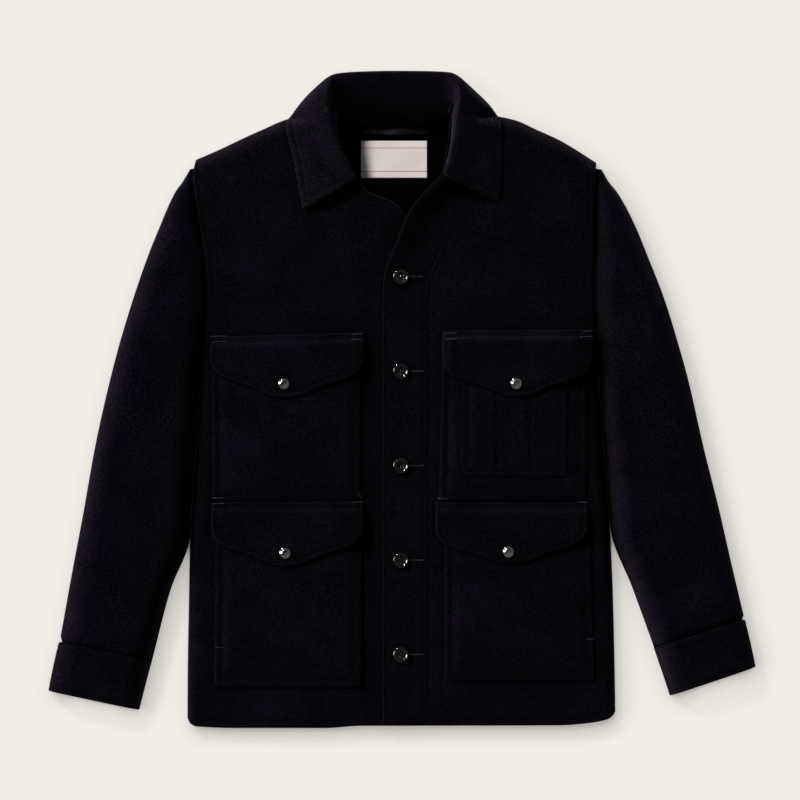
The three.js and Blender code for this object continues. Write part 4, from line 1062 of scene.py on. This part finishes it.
def upright_stitch(x, y, half, width, lift):
    """One short stitch on the front band, across the line of the buttonhole."""
    line = straight((x, y - half), (x, y + half), upper_front_top, 1.0, lift)
    stitch_run(line, "light", 9, 2 * half, width)


def buttonhole(y):
    """Two rows of stitches that draw together away from the button, and a bar at their end."""
    for x in np.arange(BUTTON_X + HOLE_START, HOLE_END, HOLE_PITCH):
        part = HOLE_NARROW + HOLE_WIDEN * (HOLE_END - x) / (HOLE_END - BUTTON_X)
        for middle in (y - part, y + part):
            upright_stitch(x, middle, HOLE_HALF, 0.5, 0.1)
    upright_stitch(END_BAR_X, y, END_BAR_HALF, 0.9, 0.2)


for x0, y0, x1, y1 in zip(*BARS.values()):
    stitch_run(straight((x0, y0), (x1, y1), highest, 1.0, 0.25), "light", 2.6, 3.0, 1.0)
for y in BUTTON_LEVELS:
    buttonhole(y)
threads = {}
for colour, runs in THREAD_RUNS.items():
    beads = np.concatenate(runs)
    first = np.arange(len(beads))[:, None, None] * BEAD_POINTS
    quads = (bead_quads()[None] + first).reshape(-1, 4)
    threads[colour] = make_mesh(f"thread_{colour}", beads.reshape(-1, 3), quads)
    print(colour, "thread:", len(beads), "stitches")

# %% [markdown]
# ## Buttons and snaps
#
# Round trim is a profile turned about an upright axis. The button's four holes are cut through,
# and two bars of thread cross it.


# %% Turned shapes
def turned_shape(name, profile, centre, tilt=(0, 0), sides=56):
    """Profile (radius, height) turned about Z. The first and last radius are 0, so both poles
    are single points, joined to their rings by quads folded to triangles."""
    profile = np.asarray(profile, float)
    angle = np.arange(sides) * 2 * math.pi / sides
    ring = profile[1:-1]
    points = np.stack([ring[:, 0, None] * np.cos(angle), ring[:, 0, None] * np.sin(angle),
                       ring[:, 1, None] + 0 * angle], -1).reshape(-1, 3)
    low, high = len(points), len(points) + 1
    points = np.concatenate([points, [[0, 0, profile[0, 1]], [0, 0, profile[-1, 1]]]])
    points[:, 2] += points[:, 0] * tilt[0] + points[:, 1] * tilt[1]
    at = np.arange(len(ring) * sides).reshape(len(ring), sides)
    nxt = np.roll(at, -1, 1)
    faces = np.stack([at[:-1], nxt[:-1], nxt[1:], at[1:]], -1).reshape(-1, 4).tolist()
    faces += [(int(low), int(b), int(a)) for a, b in zip(at[0], nxt[0])]
    faces += [(int(high), int(a), int(b)) for a, b in zip(at[-1], nxt[-1])]
    mesh = bpy.data.meshes.new(name)
    mesh.from_pydata(((points + centre) * MM).tolist(), [], faces)
    mesh.polygons.foreach_set("use_smooth", np.ones(len(faces), bool))
    mesh.update()
    piece = bpy.data.objects.new(name, mesh)
    bpy.context.scene.collection.objects.link(piece)
    return piece


def slope_at(top, x, y, reach=9.0):
    """Tilt of a surface under a round piece."""
    return (float(top(x + reach, y) - top(x - reach, y)) / (2 * reach),
            float(top(x, y + reach) - top(x, y - reach)) / (2 * reach))


BUTTON_PROFILE = ((0, 0), (5.2, 0), (7.6, 0.5), (8.9, 1.4), (9.4, 2.3), (9.35, 3.0), (9.0, 3.65),
                  (8.4, 4.1), (7.7, 4.15), (7.1, 3.8), (6.6, 3.2), (6.2, 2.8), (5.6, 2.65),
                  (5.0, 2.8), (4.4, 2.95), (0, 2.95))
HOLE_RADIUS, HOLE_OFFSET = 1.0, 1.9
DRILL_PROFILE = ((0, 0), (HOLE_RADIUS, 0), (HOLE_RADIUS, 10), (0, 10))


def cut_holes(button, centre):
    """Cuts four holes through a button with the Boolean modifier, then keeps the result."""
    for sx, sy in ((1, 1), (-1, 1), (-1, -1), (1, -1)):
        at = np.asarray(centre) + (sx * HOLE_OFFSET, sy * HOLE_OFFSET, -3)
        drill = turned_shape("drill", DRILL_PROFILE, at, sides=18)
        cut = button.modifiers.new("holes", "BOOLEAN")
        cut.operation, cut.solver, cut.object = "DIFFERENCE", "EXACT", drill
        bpy.context.view_layer.update()
        evaluated = button.evaluated_get(bpy.context.evaluated_depsgraph_get())
        done = bpy.data.meshes.new_from_object(evaluated)
        button.modifiers.clear()
        button.data = done
        bpy.data.objects.remove(drill)


BAR_RINGS, BAR_SIDES, BAR_ARCH, BAR_PLUNGE = 9, 8, 0.45, 1.6


def thread_bar(name, start, end, width=0.95):
    """A short round bar of thread, arched a little, whose ends plunge into two holes."""
    t = np.linspace(0, 1, BAR_RINGS)
    line = np.asarray(start) + (np.asarray(end) - start) * t[:, None]
    line[:, 2] += BAR_ARCH * np.sin(math.pi * t) - BAR_PLUNGE * np.abs(2 * t - 1) ** 6
    ahead = unit(np.gradient(line, axis=0))
    side = unit(np.cross(ahead, [0, 0, 1.0]))
    up = np.cross(side, ahead)
    around = np.arange(BAR_SIDES) * 2 * math.pi / BAR_SIDES
    ring = (line[:, None] + (side[:, None] * np.cos(around)[None, :, None]
                             + up[:, None] * np.sin(around)[None, :, None]) * width / 2)
    at = np.arange(BAR_RINGS * BAR_SIDES).reshape(BAR_RINGS, BAR_SIDES)
    nxt = np.roll(at, -1, 1)
    quads = np.stack([at[:-1], nxt[:-1], nxt[1:], at[1:]], -1).reshape(-1, 4)
    cap = np.array([[3, 2, 1, 0], [7, 6, 5, 4], [7, 4, 3, 0]])
    quads = np.concatenate([quads, cap, at[-1, 0] + cap[:, ::-1]])
    return make_mesh(name, ring.reshape(-1, 3), quads[:, ::-1])


BUTTON_LIFT, SNAP_LIFT, BAR_HEIGHT = 0.1, 0.05, 3.3
buttons, button_threads, snaps = {}, [], {}
for index, y in enumerate(BUTTON_LEVELS):
    node = f"button_{index + 1}"
    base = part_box(node)[0][2] / MM
    tilt = slope_at(upper_front_top, BUTTON_X, y)
    centre = (BUTTON_X, y, base + BUTTON_LIFT)
    buttons[node] = turned_shape(f"round_{node}", BUTTON_PROFILE, centre, tilt)
    cut_holes(buttons[node], centre)
    for mark, row_y in (("a", y - HOLE_OFFSET), ("b", y + HOLE_OFFSET)):
        ends = [(BUTTON_X + across, row_y, base + BAR_HEIGHT) for across in (-HOLE_OFFSET, HOLE_OFFSET)]
        button_threads.append(thread_bar(f"sewn_{node}_{mark}", *ends))
SNAP_PROFILE = ((0, 0), (5.8, 0), (6.5, 0.4), (6.7, 1.0), (6.4, 1.6), (5.9, 1.8), (5.4, 1.6),
                (5.1, 1.7), (4.7, 2.5), (3.9, 3.2), (2.9, 3.5), (1.6, 3.62), (0.8, 3.6), (0, 3.6))
SNAPS = {"upper_left": (-141.4, 19.4), "lower_left": (-139.8, -183.2), "upper_right": (136.6, 19.8),
         "lower_right": (127.2, -181.6)}
for name, (x, y) in SNAPS.items():
    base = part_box(f"snap_{name}")[0][2] / MM
    tilt = slope_at(lambda a, b: flap_top(name, a, b), x, y, 6.0)
    snaps[f"snap_{name}"] = turned_shape(f"round_snap_{name}", SNAP_PROFILE,
                                         (x, y, base + SNAP_LIFT), tilt, 48)
print(len(buttons), "buttons,", len(snaps), "snaps")

# %% [markdown]
# ## Label and hanging tape
#
# The woven label is a thin plate with turned edges. It carries only thin rules, no lettering.
# The tape lies across the back neck in soft ripples.

# %% Label and tape
LABEL = dict(left=-49.2, right=30, top=310.8, bottom=266.4, thickness=0.8)
LABEL_STEPS = [0, 0.3, 0.8, 1.6, 2.6]
TAPE = dict(left=-46.8, right=31.2, top=326.2, bottom=318.6, thickness=1.2, bow=3.0)


def make_label():
    """Flat cloth whose edges draw down a little between the corner stitches."""
    across = spread(LABEL["right"] - LABEL["left"], LABEL_STEPS, 40, LABEL_STEPS)
    down = spread(LABEL["top"] - LABEL["bottom"], LABEL_STEPS, 24, LABEL_STEPS)
    x = LABEL["left"] + np.broadcast_to(across[None], (len(down), len(across)))
    y = LABEL["top"] - np.broadcast_to(down[:, None], x.shape)
    to_side = np.minimum(across, across[-1] - across)
    to_end = np.minimum(down, down[-1] - down)
    to_edge = np.minimum(to_side[None], to_end[:, None])
    ripple = 0.25 * np.sin(x * 0.11) * np.sin(y * 0.13) * smooth(0, 5, to_edge)
    z = WOOL + SEAM_GAP + LABEL["thickness"] + ripple
    return wall("cloth_neck_label", np.stack([x, y, z], -1), LABEL["thickness"] * 0.8, to_edge,
                floor=lambda px, py: np.full_like(px, WOOL + 0.15))


def make_tape():
    """Narrow satin strip, bowed and rippled between its two sewn ends."""
    t = np.linspace(0, 1, 60)
    down = np.linspace(0, 1, 9)
    x = np.broadcast_to(lerp(TAPE["left"], TAPE["right"], t)[None], (9, 60))
    width = TAPE["top"] - TAPE["bottom"]
    sway = 0.7 * np.sin(t * 9 + 0.6)
    y = TAPE["top"] + sway[None] - width * down[:, None]
    z = (WOOL + SEAM_GAP + TAPE["thickness"] + TAPE["bow"] * np.sin(math.pi * t)[None] ** 2
         + 0.5 * np.sin(math.pi * t)[None] * np.sin(down[:, None] * 3 + t[None] * 11))
    to_edge = np.minimum(down, 1 - down)[:, None] * width + 0 * x
    return wall("cloth_hanger_loop", np.stack([x, y, z], -1), 1.0, to_edge,
                floor=lambda px, py: np.full_like(px, WOOL + 0.1))


label, tape = make_label(), make_tape()

# %% [markdown]
# ## Felted wool
#
# Mackinaw wool is a twill that has been felted until a short nap hides the weave. Three things
# show: a mottle of slightly lighter and darker wool, a fine grain of fibres that catches light,
# and a soft bloom at grazing angles. The grain and mottle are a node group that every wool
# material shares, and the bloom is the shader's sheen. The group also paints shade: ambient
# occlusion darkens the colour and the bloom in folds, under layers and in hollows.


# %% Node helpers and the wool group
def feed(tree, node, inputs):
    """Gives each input of a node a plain value, or a link from another node's output."""
    for key, value in inputs.items():
        if isinstance(value, bpy.types.NodeSocket):
            tree.links.new(value, node.inputs[key])
        else:
            node.inputs[key].default_value = value


def add_node(tree, kind, output, inputs=None, **settings):
    """An output of a new node, with its settings and its inputs given."""
    node = tree.nodes.new(kind)
    for key, value in settings.items():
        setattr(node, key, value)
    feed(tree, node, inputs or {})
    return node.outputs[output]


def compute(tree, operation, *values):
    """Result of one operation on plain values or links. MULTIPLY_ADD is a x b + c."""
    return add_node(tree, "ShaderNodeMath", 0, dict(enumerate(values)), operation=operation)


def blend(tree, share, first, second):
    """Colour a share of the way from the first to the second."""
    return add_node(tree, "ShaderNodeMix", 2, {"Factor": share, 6: first, 7: second}, data_type="RGBA")


def scaled(colour, factor):
    """A colour made darker or brighter, with full alpha."""
    return tuple(c * factor for c in colour[:3]) + (1,)


def new_group(name, sockets_in, sockets_out):
    """Shader node group with named sockets: (name, type, default) in and (name, type) out."""
    group = bpy.data.node_groups.new(name, "ShaderNodeTree")
    for word, kind, default in sockets_in:
        socket = group.interface.new_socket(word, in_out="INPUT", socket_type=kind)
        socket.default_value = default
    for word, kind in sockets_out:
        group.interface.new_socket(word, in_out="OUTPUT", socket_type=kind)
    return group, group.nodes.new("NodeGroupInput"), group.nodes.new("NodeGroupOutput")


# Power and reach of the ambient occlusion that paints shade into the wool's colour and bloom.
PAINTED_SHADE_POWER, PAINTED_SHADE_REACH = 2.4, 0.03


def make_wool_group():
    """Colour, bloom, roughness and normal of felted wool from Object coordinates. Both the
    colour and the bloom are darkened by ambient occlusion in folds, under layers and in hollows:
    painted shade, whose power and reach are inputs."""
    group, given, result = new_group(
        "Felted wool",
        [("Dark", "NodeSocketColor", (0.0022, 0.0016, 0.0034, 1)),
         ("Light", "NodeSocketColor", (0.006, 0.0045, 0.0085, 1)),
         ("Bloom", "NodeSocketFloat", 0.05), ("Nap", "NodeSocketFloat", 0.5),
         ("Painted shade power", "NodeSocketFloat", PAINTED_SHADE_POWER), ("Painted shade reach", "NodeSocketFloat", PAINTED_SHADE_REACH)],
        [("Color", "NodeSocketColor"), ("Bloom", "NodeSocketFloat"),
         ("Roughness", "NodeSocketFloat"), ("Normal", "NodeSocketVector")])
    given = given.outputs
    place = add_node(group, "ShaderNodeTexCoord", "Object")
    mottle = add_node(group, "ShaderNodeTexNoise", "Fac",
                      {"Vector": place, "Scale": 580.0, "Detail": 2.0, "Roughness": 0.75})
    cloud = add_node(group, "ShaderNodeTexNoise", "Fac", {"Vector": place, "Scale": 22.0, "Detail": 2.0})
    drawn_out = add_node(group, "ShaderNodeMapping", "Vector",
                         {"Vector": place, "Scale": (1.0, 0.42, 1.0), "Rotation": (0, 0, 0.6)})
    fibre = add_node(group, "ShaderNodeTexNoise", "Fac",
                     {"Vector": drawn_out, "Scale": 1000.0, "Detail": 1.0, "Roughness": 0.7})
    shade = compute(group, "MULTIPLY_ADD", mottle, 1.6, fibre)
    shade = compute(group, "MULTIPLY_ADD", cloud, 0.5, shade)
    grade = add_node(group, "ShaderNodeMapRange", "Result",
                     {"Value": shade, "From Min": 1.40, "From Max": 1.75})
    colour = blend(group, grade, given["Dark"], given["Light"])
    # Painted shade: ambient occlusion raised to a power darkens the colour and the bloom in folds and
    # hollows.
    painted_shade_ao = add_node(group, "ShaderNodeAmbientOcclusion", "AO",
                        {"Distance": given["Painted shade reach"]}, samples=8)
    depth = compute(group, "POWER", painted_shade_ao, given["Painted shade power"])
    shaded = add_node(group, "ShaderNodeVectorMath", "Vector", {"Vector": colour, "Scale": depth},
                      operation="SCALE")
    height = compute(group, "MULTIPLY_ADD", mottle, 1.5, fibre)
    normal = add_node(group, "ShaderNodeBump", "Normal",
                      {"Distance": 0.0011, "Strength": given["Nap"], "Height": height})
    rough = add_node(group, "ShaderNodeMapRange", "Result",
                     {"Value": fibre, "To Min": 0.82, "To Max": 0.98})
    feed(group, result, {"Color": shaded, "Bloom": compute(group, "MULTIPLY", depth, given["Bloom"]),
                         "Roughness": rough, "Normal": normal})
    return group


wool_group = make_wool_group()


# %% Materials
def new_material(name, **values):
    """Material with a Principled shader, its plain values set on the shader's own sockets."""
    material = bpy.data.materials.new(name)
    material.use_nodes = True
    tree = material.node_tree
    shader = tree.nodes["Principled BSDF"]
    feed(tree, shader, {key.replace("_", " "): value for key, value in values.items()})
    return material, tree, shader


def make_wool(name, dark, light, nap, bloom, painted_shade_power=PAINTED_SHADE_POWER, painted_shade_reach=PAINTED_SHADE_REACH):
    """Wool of one colour range and one strength of painted shade: the shared group feeds the shader's own
    sockets.
    """
    material, tree, shader = new_material(name, Sheen_Roughness=0.4, Specular_IOR_Level=0.015,
                                          Sheen_Tint=(0.80, 0.62, 1.0, 1))
    felt = tree.nodes.new("ShaderNodeGroup")
    felt.node_tree = wool_group
    feed(tree, felt, {"Dark": dark, "Light": light, "Nap": nap, "Bloom": bloom,
                      "Painted shade power": painted_shade_power, "Painted shade reach": painted_shade_reach})
    feed(tree, shader, {"Base Color": felt.outputs["Color"], "Sheen Weight": felt.outputs["Bloom"],
                        "Roughness": felt.outputs["Roughness"], "Normal": felt.outputs["Normal"]})
    return material


def make_gloss(name, colour, roughness, metallic, wear, shine=0.5):
    """Polished trim: even colour with a faint cloud of handling marks in its roughness."""
    material, tree, shader = new_material(name, Metallic=metallic, Specular_IOR_Level=shine)
    place = add_node(tree, "ShaderNodeTexCoord", "Object")
    marks = add_node(tree, "ShaderNodeTexNoise", "Fac",
                     {"Vector": place, "Scale": 420.0, "Detail": 6.0, "Roughness": 0.7})
    worn = add_node(tree, "ShaderNodeMapRange", "Result",
                    {"Value": marks, "To Min": roughness, "To Max": roughness + wear})
    feed(tree, shader, {"Roughness": worn, "Base Color": blend(tree, marks, colour, scaled(colour, 1.5))})
    return material


def make_thread(name, colour):
    """Twisted thread: fine bands across it."""
    material, tree, shader = new_material(name, Roughness=0.75, Specular_IOR_Level=0.06)
    place = add_node(tree, "ShaderNodeTexCoord", "Object")
    twist = add_node(tree, "ShaderNodeTexWave", "Fac",
                     {"Vector": place, "Scale": 520.0, "Distortion": 1.0}, bands_direction="DIAGONAL")
    feed(tree, shader, {"Base Color": blend(tree, twist, scaled(colour, 0.55), colour)})
    return material


LABEL_RULES, RULE_HALF_WIDTH = (0.0085, 0.0365), 0.00035
LABEL_GROUND = (1.0, 0.84, 0.79, 1), (1.0, 0.93, 0.89, 1)
LABEL_RED = (0.55, 0.05, 0.06, 1)
SATIN_SHADES = (0.005, 0.0044, 0.0068, 1), (0.017, 0.015, 0.021, 1)


def make_label_cloth():
    """Cream satin with two thin red rules across it, from the label's own UV map."""
    material, tree, shader = new_material("woven label", Roughness=0.6, Sheen_Weight=0.15)
    uv = add_node(tree, "ShaderNodeUVMap", "UV", uv_map="Cloth")
    level = add_node(tree, "ShaderNodeSeparateXYZ", "Y", {"Vector": uv})
    weave = add_node(tree, "ShaderNodeTexWave", "Fac",
                     {"Vector": uv, "Scale": 700.0, "Distortion": 0.6}, bands_direction="Y")
    rules = compute(tree, "MAXIMUM", *(compute(tree, "COMPARE", level, at, RULE_HALF_WIDTH)
                                       for at in LABEL_RULES))
    colour = blend(tree, rules, blend(tree, weave, *LABEL_GROUND), LABEL_RED)
    normal = add_node(tree, "ShaderNodeBump", "Normal",
                      {"Height": weave, "Strength": 0.3, "Distance": 0.0002})
    feed(tree, shader, {"Base Color": colour, "Normal": normal})
    return material


def make_satin():
    """Dark satin with fine bands across it, from the tape's own UV map."""
    material, tree, shader = new_material("dark satin", Roughness=0.42, Specular_IOR_Level=0.12)
    uv = add_node(tree, "ShaderNodeUVMap", "UV", uv_map="Cloth")
    weave = add_node(tree, "ShaderNodeTexWave", "Fac",
                     {"Vector": uv, "Scale": 900.0, "Distortion": 0.4}, bands_direction="X")
    feed(tree, shader, {"Base Color": blend(tree, weave, *SATIN_SHADES)})
    return material


WOOL_DARK, WOOL_LIGHT = (0.0001, 0.00005, 0.0002, 1), (0.0056, 0.0036, 0.0088, 1)
# The collar's wool is painted lighter than the rest: partly a raised nap, partly painted light that the
# raised collar catches.
COLLAR_PAINTED_LIGHT = (0.0078, 0.0053, 0.0116, 1)
# Every wool carries painted shade in folds and hollows. The back's wool has far deeper painted shade that
# reaches further, which blackens the inside of the neck.
materials = {
    "wool": make_wool("felted wool", WOOL_DARK, WOOL_LIGHT, 1.0, 0.05),
    "wool_collar_painted_lighter": make_wool("felted wool collar painted lighter", WOOL_DARK, COLLAR_PAINTED_LIGHT, 1.0, 0.08, 1.5, 0.03),
    "wool_deep_painted_shade": make_wool("felted wool with deep painted shade", WOOL_DARK, WOOL_LIGHT, 1.0, 0.02, 7.0, 0.12),
    "black_plastic": make_gloss("black resin", (0.0008, 0.0008, 0.001, 1), 0.03, 0.0, 0.05, 1.0),
    "dark_chrome": make_gloss("gunmetal", (0.36, 0.365, 0.38, 1), 0.08, 1.0, 0.08),
    "woven_label": make_label_cloth(),
    "satin": make_satin(),
    "thread_dark": make_thread("dark thread", (0.0045, 0.0032, 0.0065, 1)),
    "thread_light": make_thread("grey thread", (0.07, 0.064, 0.084, 1)),
}
print(len(materials), "materials")

# %% [markdown]
# ## Put each piece in its place
#
# Every piece rides on the one body and stands for its solid. A table lists the size that each
# cloth piece was cut to.

# %% Ride, replace and dress
FLAT_CUTS = {
    "cloth_back": (0.515, 0.742, 0.355, ["floor"]),
    "cloth_front_left": (0.30, 0.745, 0.205, ["cloth_back"]),
    "cloth_front_right": (0.30, 0.745, 0.205, ["cloth_back", "cloth_front_left"]),
    "cloth_sleeve_left": (0.30, 0.61, 0.145, ["floor"]),
    "cloth_sleeve_right": (0.30, 0.60, 0.142, ["floor"]),
    "cloth_cuff_left": (0.27, 0.064, None, ["floor"]),
    "cloth_cuff_right": (0.27, 0.064, None, ["floor"]),
    "cloth_collar": (0.46, 0.13, 0.052, ["cloth_front_left", "cloth_front_right"]),
    "cloth_neck_label": (0.0792, 0.0444, None, ["cloth_back"]),
    "cloth_pocket_utility": (0.130, 0.134, None, ["cloth_pocket_upper_right"]),
}


SIDE_TURN, FOOT_TURN, TIP_SPARE, FLAP_FILL = 8, 6, 3, 0.8


def settle(piece, node, slot, material):
    """Dresses a piece, lets it ride on the body and hides the solid that it stands for."""
    piece.data.materials.clear()
    piece.data.materials.append(materials[material])
    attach(piece, "root")
    if node:
        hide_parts(node)


# The back carries the wool with deep painted shade, which blackens the inside of the neck.
settle(back, "back", "wool", "wool_deep_painted_shade")
# The collar carries the wool painted lighter, with weaker painted shade.
settle(collar, "collar", "wool", "wool_collar_painted_lighter")
settle(label, "neck_label", "woven_label", "woven_label")
settle(tape, "hanger_loop", "satin", "satin")
for side in ("left", "right"):
    settle(fronts[side], f"front_{side}", "wool", "wool")
    settle(sleeves[side], f"sleeve_{side}", "wool", "wool")
    settle(cuffs[side], f"cuff_{side}", "wool", "wool")
for name, piece in patches.items():
    settle(piece, name, "wool", "wool")
    if name != "pocket_utility":
        patch = POCKETS[name]
        front = "cloth_front_left" if "left" in name else "cloth_front_right"
        width = (patch.right - patch.left + SIDE_TURN) * MM
        length = (patch.top - patch.bottom + FOOT_TURN) * MM
        FLAT_CUTS[f"cloth_{name}"] = (width, length, None, [front])
for name, piece in flaps.items():
    settle(piece, f"flap_{name}", "wool", "wool")
    flap = FLAPS[name]
    width = (flap.right - flap.left) * MM
    length = (max(flap.top_left, flap.top_right) - flap.tip_y + TIP_SPARE) * MM
    FLAT_CUTS[f"cloth_flap_{name}"] = (width, length, FLAP_FILL * width * length, [f"cloth_pocket_{name}"])
for node, piece in buttons.items():
    settle(piece, node, "black_plastic", "black_plastic")
for node, piece in snaps.items():
    settle(piece, node, "dark_chrome", "dark_chrome")
for piece in button_threads:
    settle(piece, None, "satin", "thread_dark")
settle(threads["dark"], None, "satin", "thread_dark")
settle(threads["light"], None, "satin", "thread_light")
for name, (width, length, area, under) in FLAT_CUTS.items():
    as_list(under)
print(len(FLAT_CUTS), "sheets of cloth")

# %% [markdown]
# ## Surface, light and camera
#
# The key light is a soft sun from the upper left, a third of the way up the sky, so the shadows
# fall to the lower right. A low and very soft light comes from the left, and a very weak one
# fills in from the right. The sky is dim overhead and brighter at the horizon, for the rims of
# the glossy trim. The surface is plain and pale and partly lit from within. Its glow is dimmed by
# ambient occlusion beside cloth that stands up to its upper left, a painted shadow, and in narrow
# slots between cloth and cloth, painted shade. The camera looks straight down through a long lens.

# %% Stage
SPAN, DISTANCE, SENSOR, FAR_CLIP = 0.960, 10.0, 36, 30
CAMERA_X = -0.0024
PALE = (0.888, 0.845, 0.797)
FLOOR_REACH, FLOOR_LEVEL, FLOOR_DARK, FLOOR_LIGHT = 8.0, -0.0006, 0.097, 0.103
GLOW = 0.91
# Reach and levels of the ambient occlusion that paints a shadow beside cloth and shade in slots into the
# floor's glow.
OPEN_SIDE, BESIDE_REACH, BESIDE_DARK = (-0.4, 0.65, 0.65), 0.03, 0.15
SLOT_REACH, SLOT_DARK, SLOT_OPEN = 0.008, 0.12, 0.5
SKY_LOW, SKY_HIGH, SKY_COLOUR = 0.22, 0.012, (1.0, 0.985, 0.97, 1)
SUNS = {"key": (128, 31, 3.7, 7), "side": (170, 9, 4.8, 30), "fill": (-60, 60, 0.10, 60)}


def make_floor():
    """Pale surface with a glow of its own: GLOW x the root of the share of sky seen towards
    OPEN_SIDE x the share seen close by, which goes to nothing in a slot. Both shares are ambient
    occlusion, so the glow carries a painted shadow beside cloth and painted shade in slots."""
    corners = [(x * FLOOR_REACH, y * FLOOR_REACH, FLOOR_LEVEL)
               for x, y in ((-1, -1), (1, -1), (1, 1), (-1, 1))]
    mesh = bpy.data.meshes.new("floor")
    mesh.from_pydata(corners, [], [(0, 1, 2, 3)])
    floor = bpy.data.objects.new("floor", mesh)
    bpy.context.scene.collection.objects.link(floor)
    material, tree, shader = new_material("pale surface", Roughness=1.0, Specular_IOR_Level=0.0,
                                          Emission_Color=PALE + (1,))
    # Painted shadow: ambient occlusion towards the upper left dims the glow beside cloth that stands up.
    toward = add_node(tree, "ShaderNodeCombineXYZ", "Vector", dict(zip("XYZ", OPEN_SIDE)))
    beside = add_node(tree, "ShaderNodeAmbientOcclusion", "AO",
                      {"Distance": BESIDE_REACH, "Normal": toward}, samples=12)
    seen = add_node(tree, "ShaderNodeMapRange", "Result", {"Value": beside, "From Min": BESIDE_DARK})
    # Painted shade: ambient occlusion close by dims the glow to nothing in narrow slots.
    slot = add_node(tree, "ShaderNodeAmbientOcclusion", "AO", {"Distance": SLOT_REACH}, samples=12)
    room = add_node(tree, "ShaderNodeMapRange", "Result",
                    {"Value": slot, "From Min": SLOT_DARK, "From Max": SLOT_OPEN, "To Max": GLOW})
    glow = compute(tree, "MULTIPLY", compute(tree, "SQRT", seen), room)
    place = add_node(tree, "ShaderNodeTexCoord", "Object")
    grain = add_node(tree, "ShaderNodeTexNoise", "Fac", {"Vector": place, "Scale": 30.0, "Detail": 3.0})
    colour = blend(tree, grain, scaled(PALE, FLOOR_DARK), scaled(PALE, FLOOR_LIGHT))
    feed(tree, shader, {"Emission Strength": glow, "Base Color": colour})
    mesh.materials.append(material)
    return floor


def make_sun(name, azimuth, elevation, power, softness):
    """Sun that shines from a compass direction (degrees from +X) and a height above the surface."""
    data = bpy.data.lights.new(name, "SUN")
    data.energy = power
    data.angle = math.radians(softness)
    lamp = bpy.data.objects.new(name, data)
    bpy.context.scene.collection.objects.link(lamp)
    lamp.rotation_euler = (math.radians(90 - elevation), 0, math.radians(azimuth + 90))
    lamp.location = (2 * math.cos(math.radians(azimuth)), 2 * math.sin(math.radians(azimuth)), 2)


def make_sky():
    """Weak light from all round: dim overhead and brighter towards the horizon, so that level
    glossy faces stay dark and their rounded rims catch a line of light."""
    world = bpy.context.scene.world or bpy.data.worlds.new("World")
    bpy.context.scene.world = world
    world.use_nodes = True
    tree = world.node_tree
    way = add_node(tree, "ShaderNodeTexCoord", "Generated")
    height = add_node(tree, "ShaderNodeSeparateXYZ", "Z", {"Vector": way})
    level = add_node(tree, "ShaderNodeMapRange", "Result",
                     {"Value": height, "To Min": SKY_LOW, "To Max": SKY_HIGH},
                     interpolation_type="SMOOTHSTEP")
    feed(tree, tree.nodes["Background"], {"Color": SKY_COLOUR, "Strength": level})


def make_camera():
    """Camera above the middle of the frame, looking straight down, SPAN metres wide in view."""
    data = bpy.data.cameras.new("camera")
    data.sensor_width = SENSOR
    data.lens = SENSOR * DISTANCE / SPAN
    data.clip_end = FAR_CLIP
    camera = bpy.data.objects.new("camera", data)
    bpy.context.scene.collection.objects.link(camera)
    camera.location = (CAMERA_X, 0.0, DISTANCE)
    camera.rotation_euler = (0, 0, 0)
    return camera


make_floor()
for name, given in SUNS.items():
    make_sun(name, *given)
make_sky()
bpy.context.scene.view_settings.view_transform = "Standard"
bpy.context.scene.camera = make_camera()
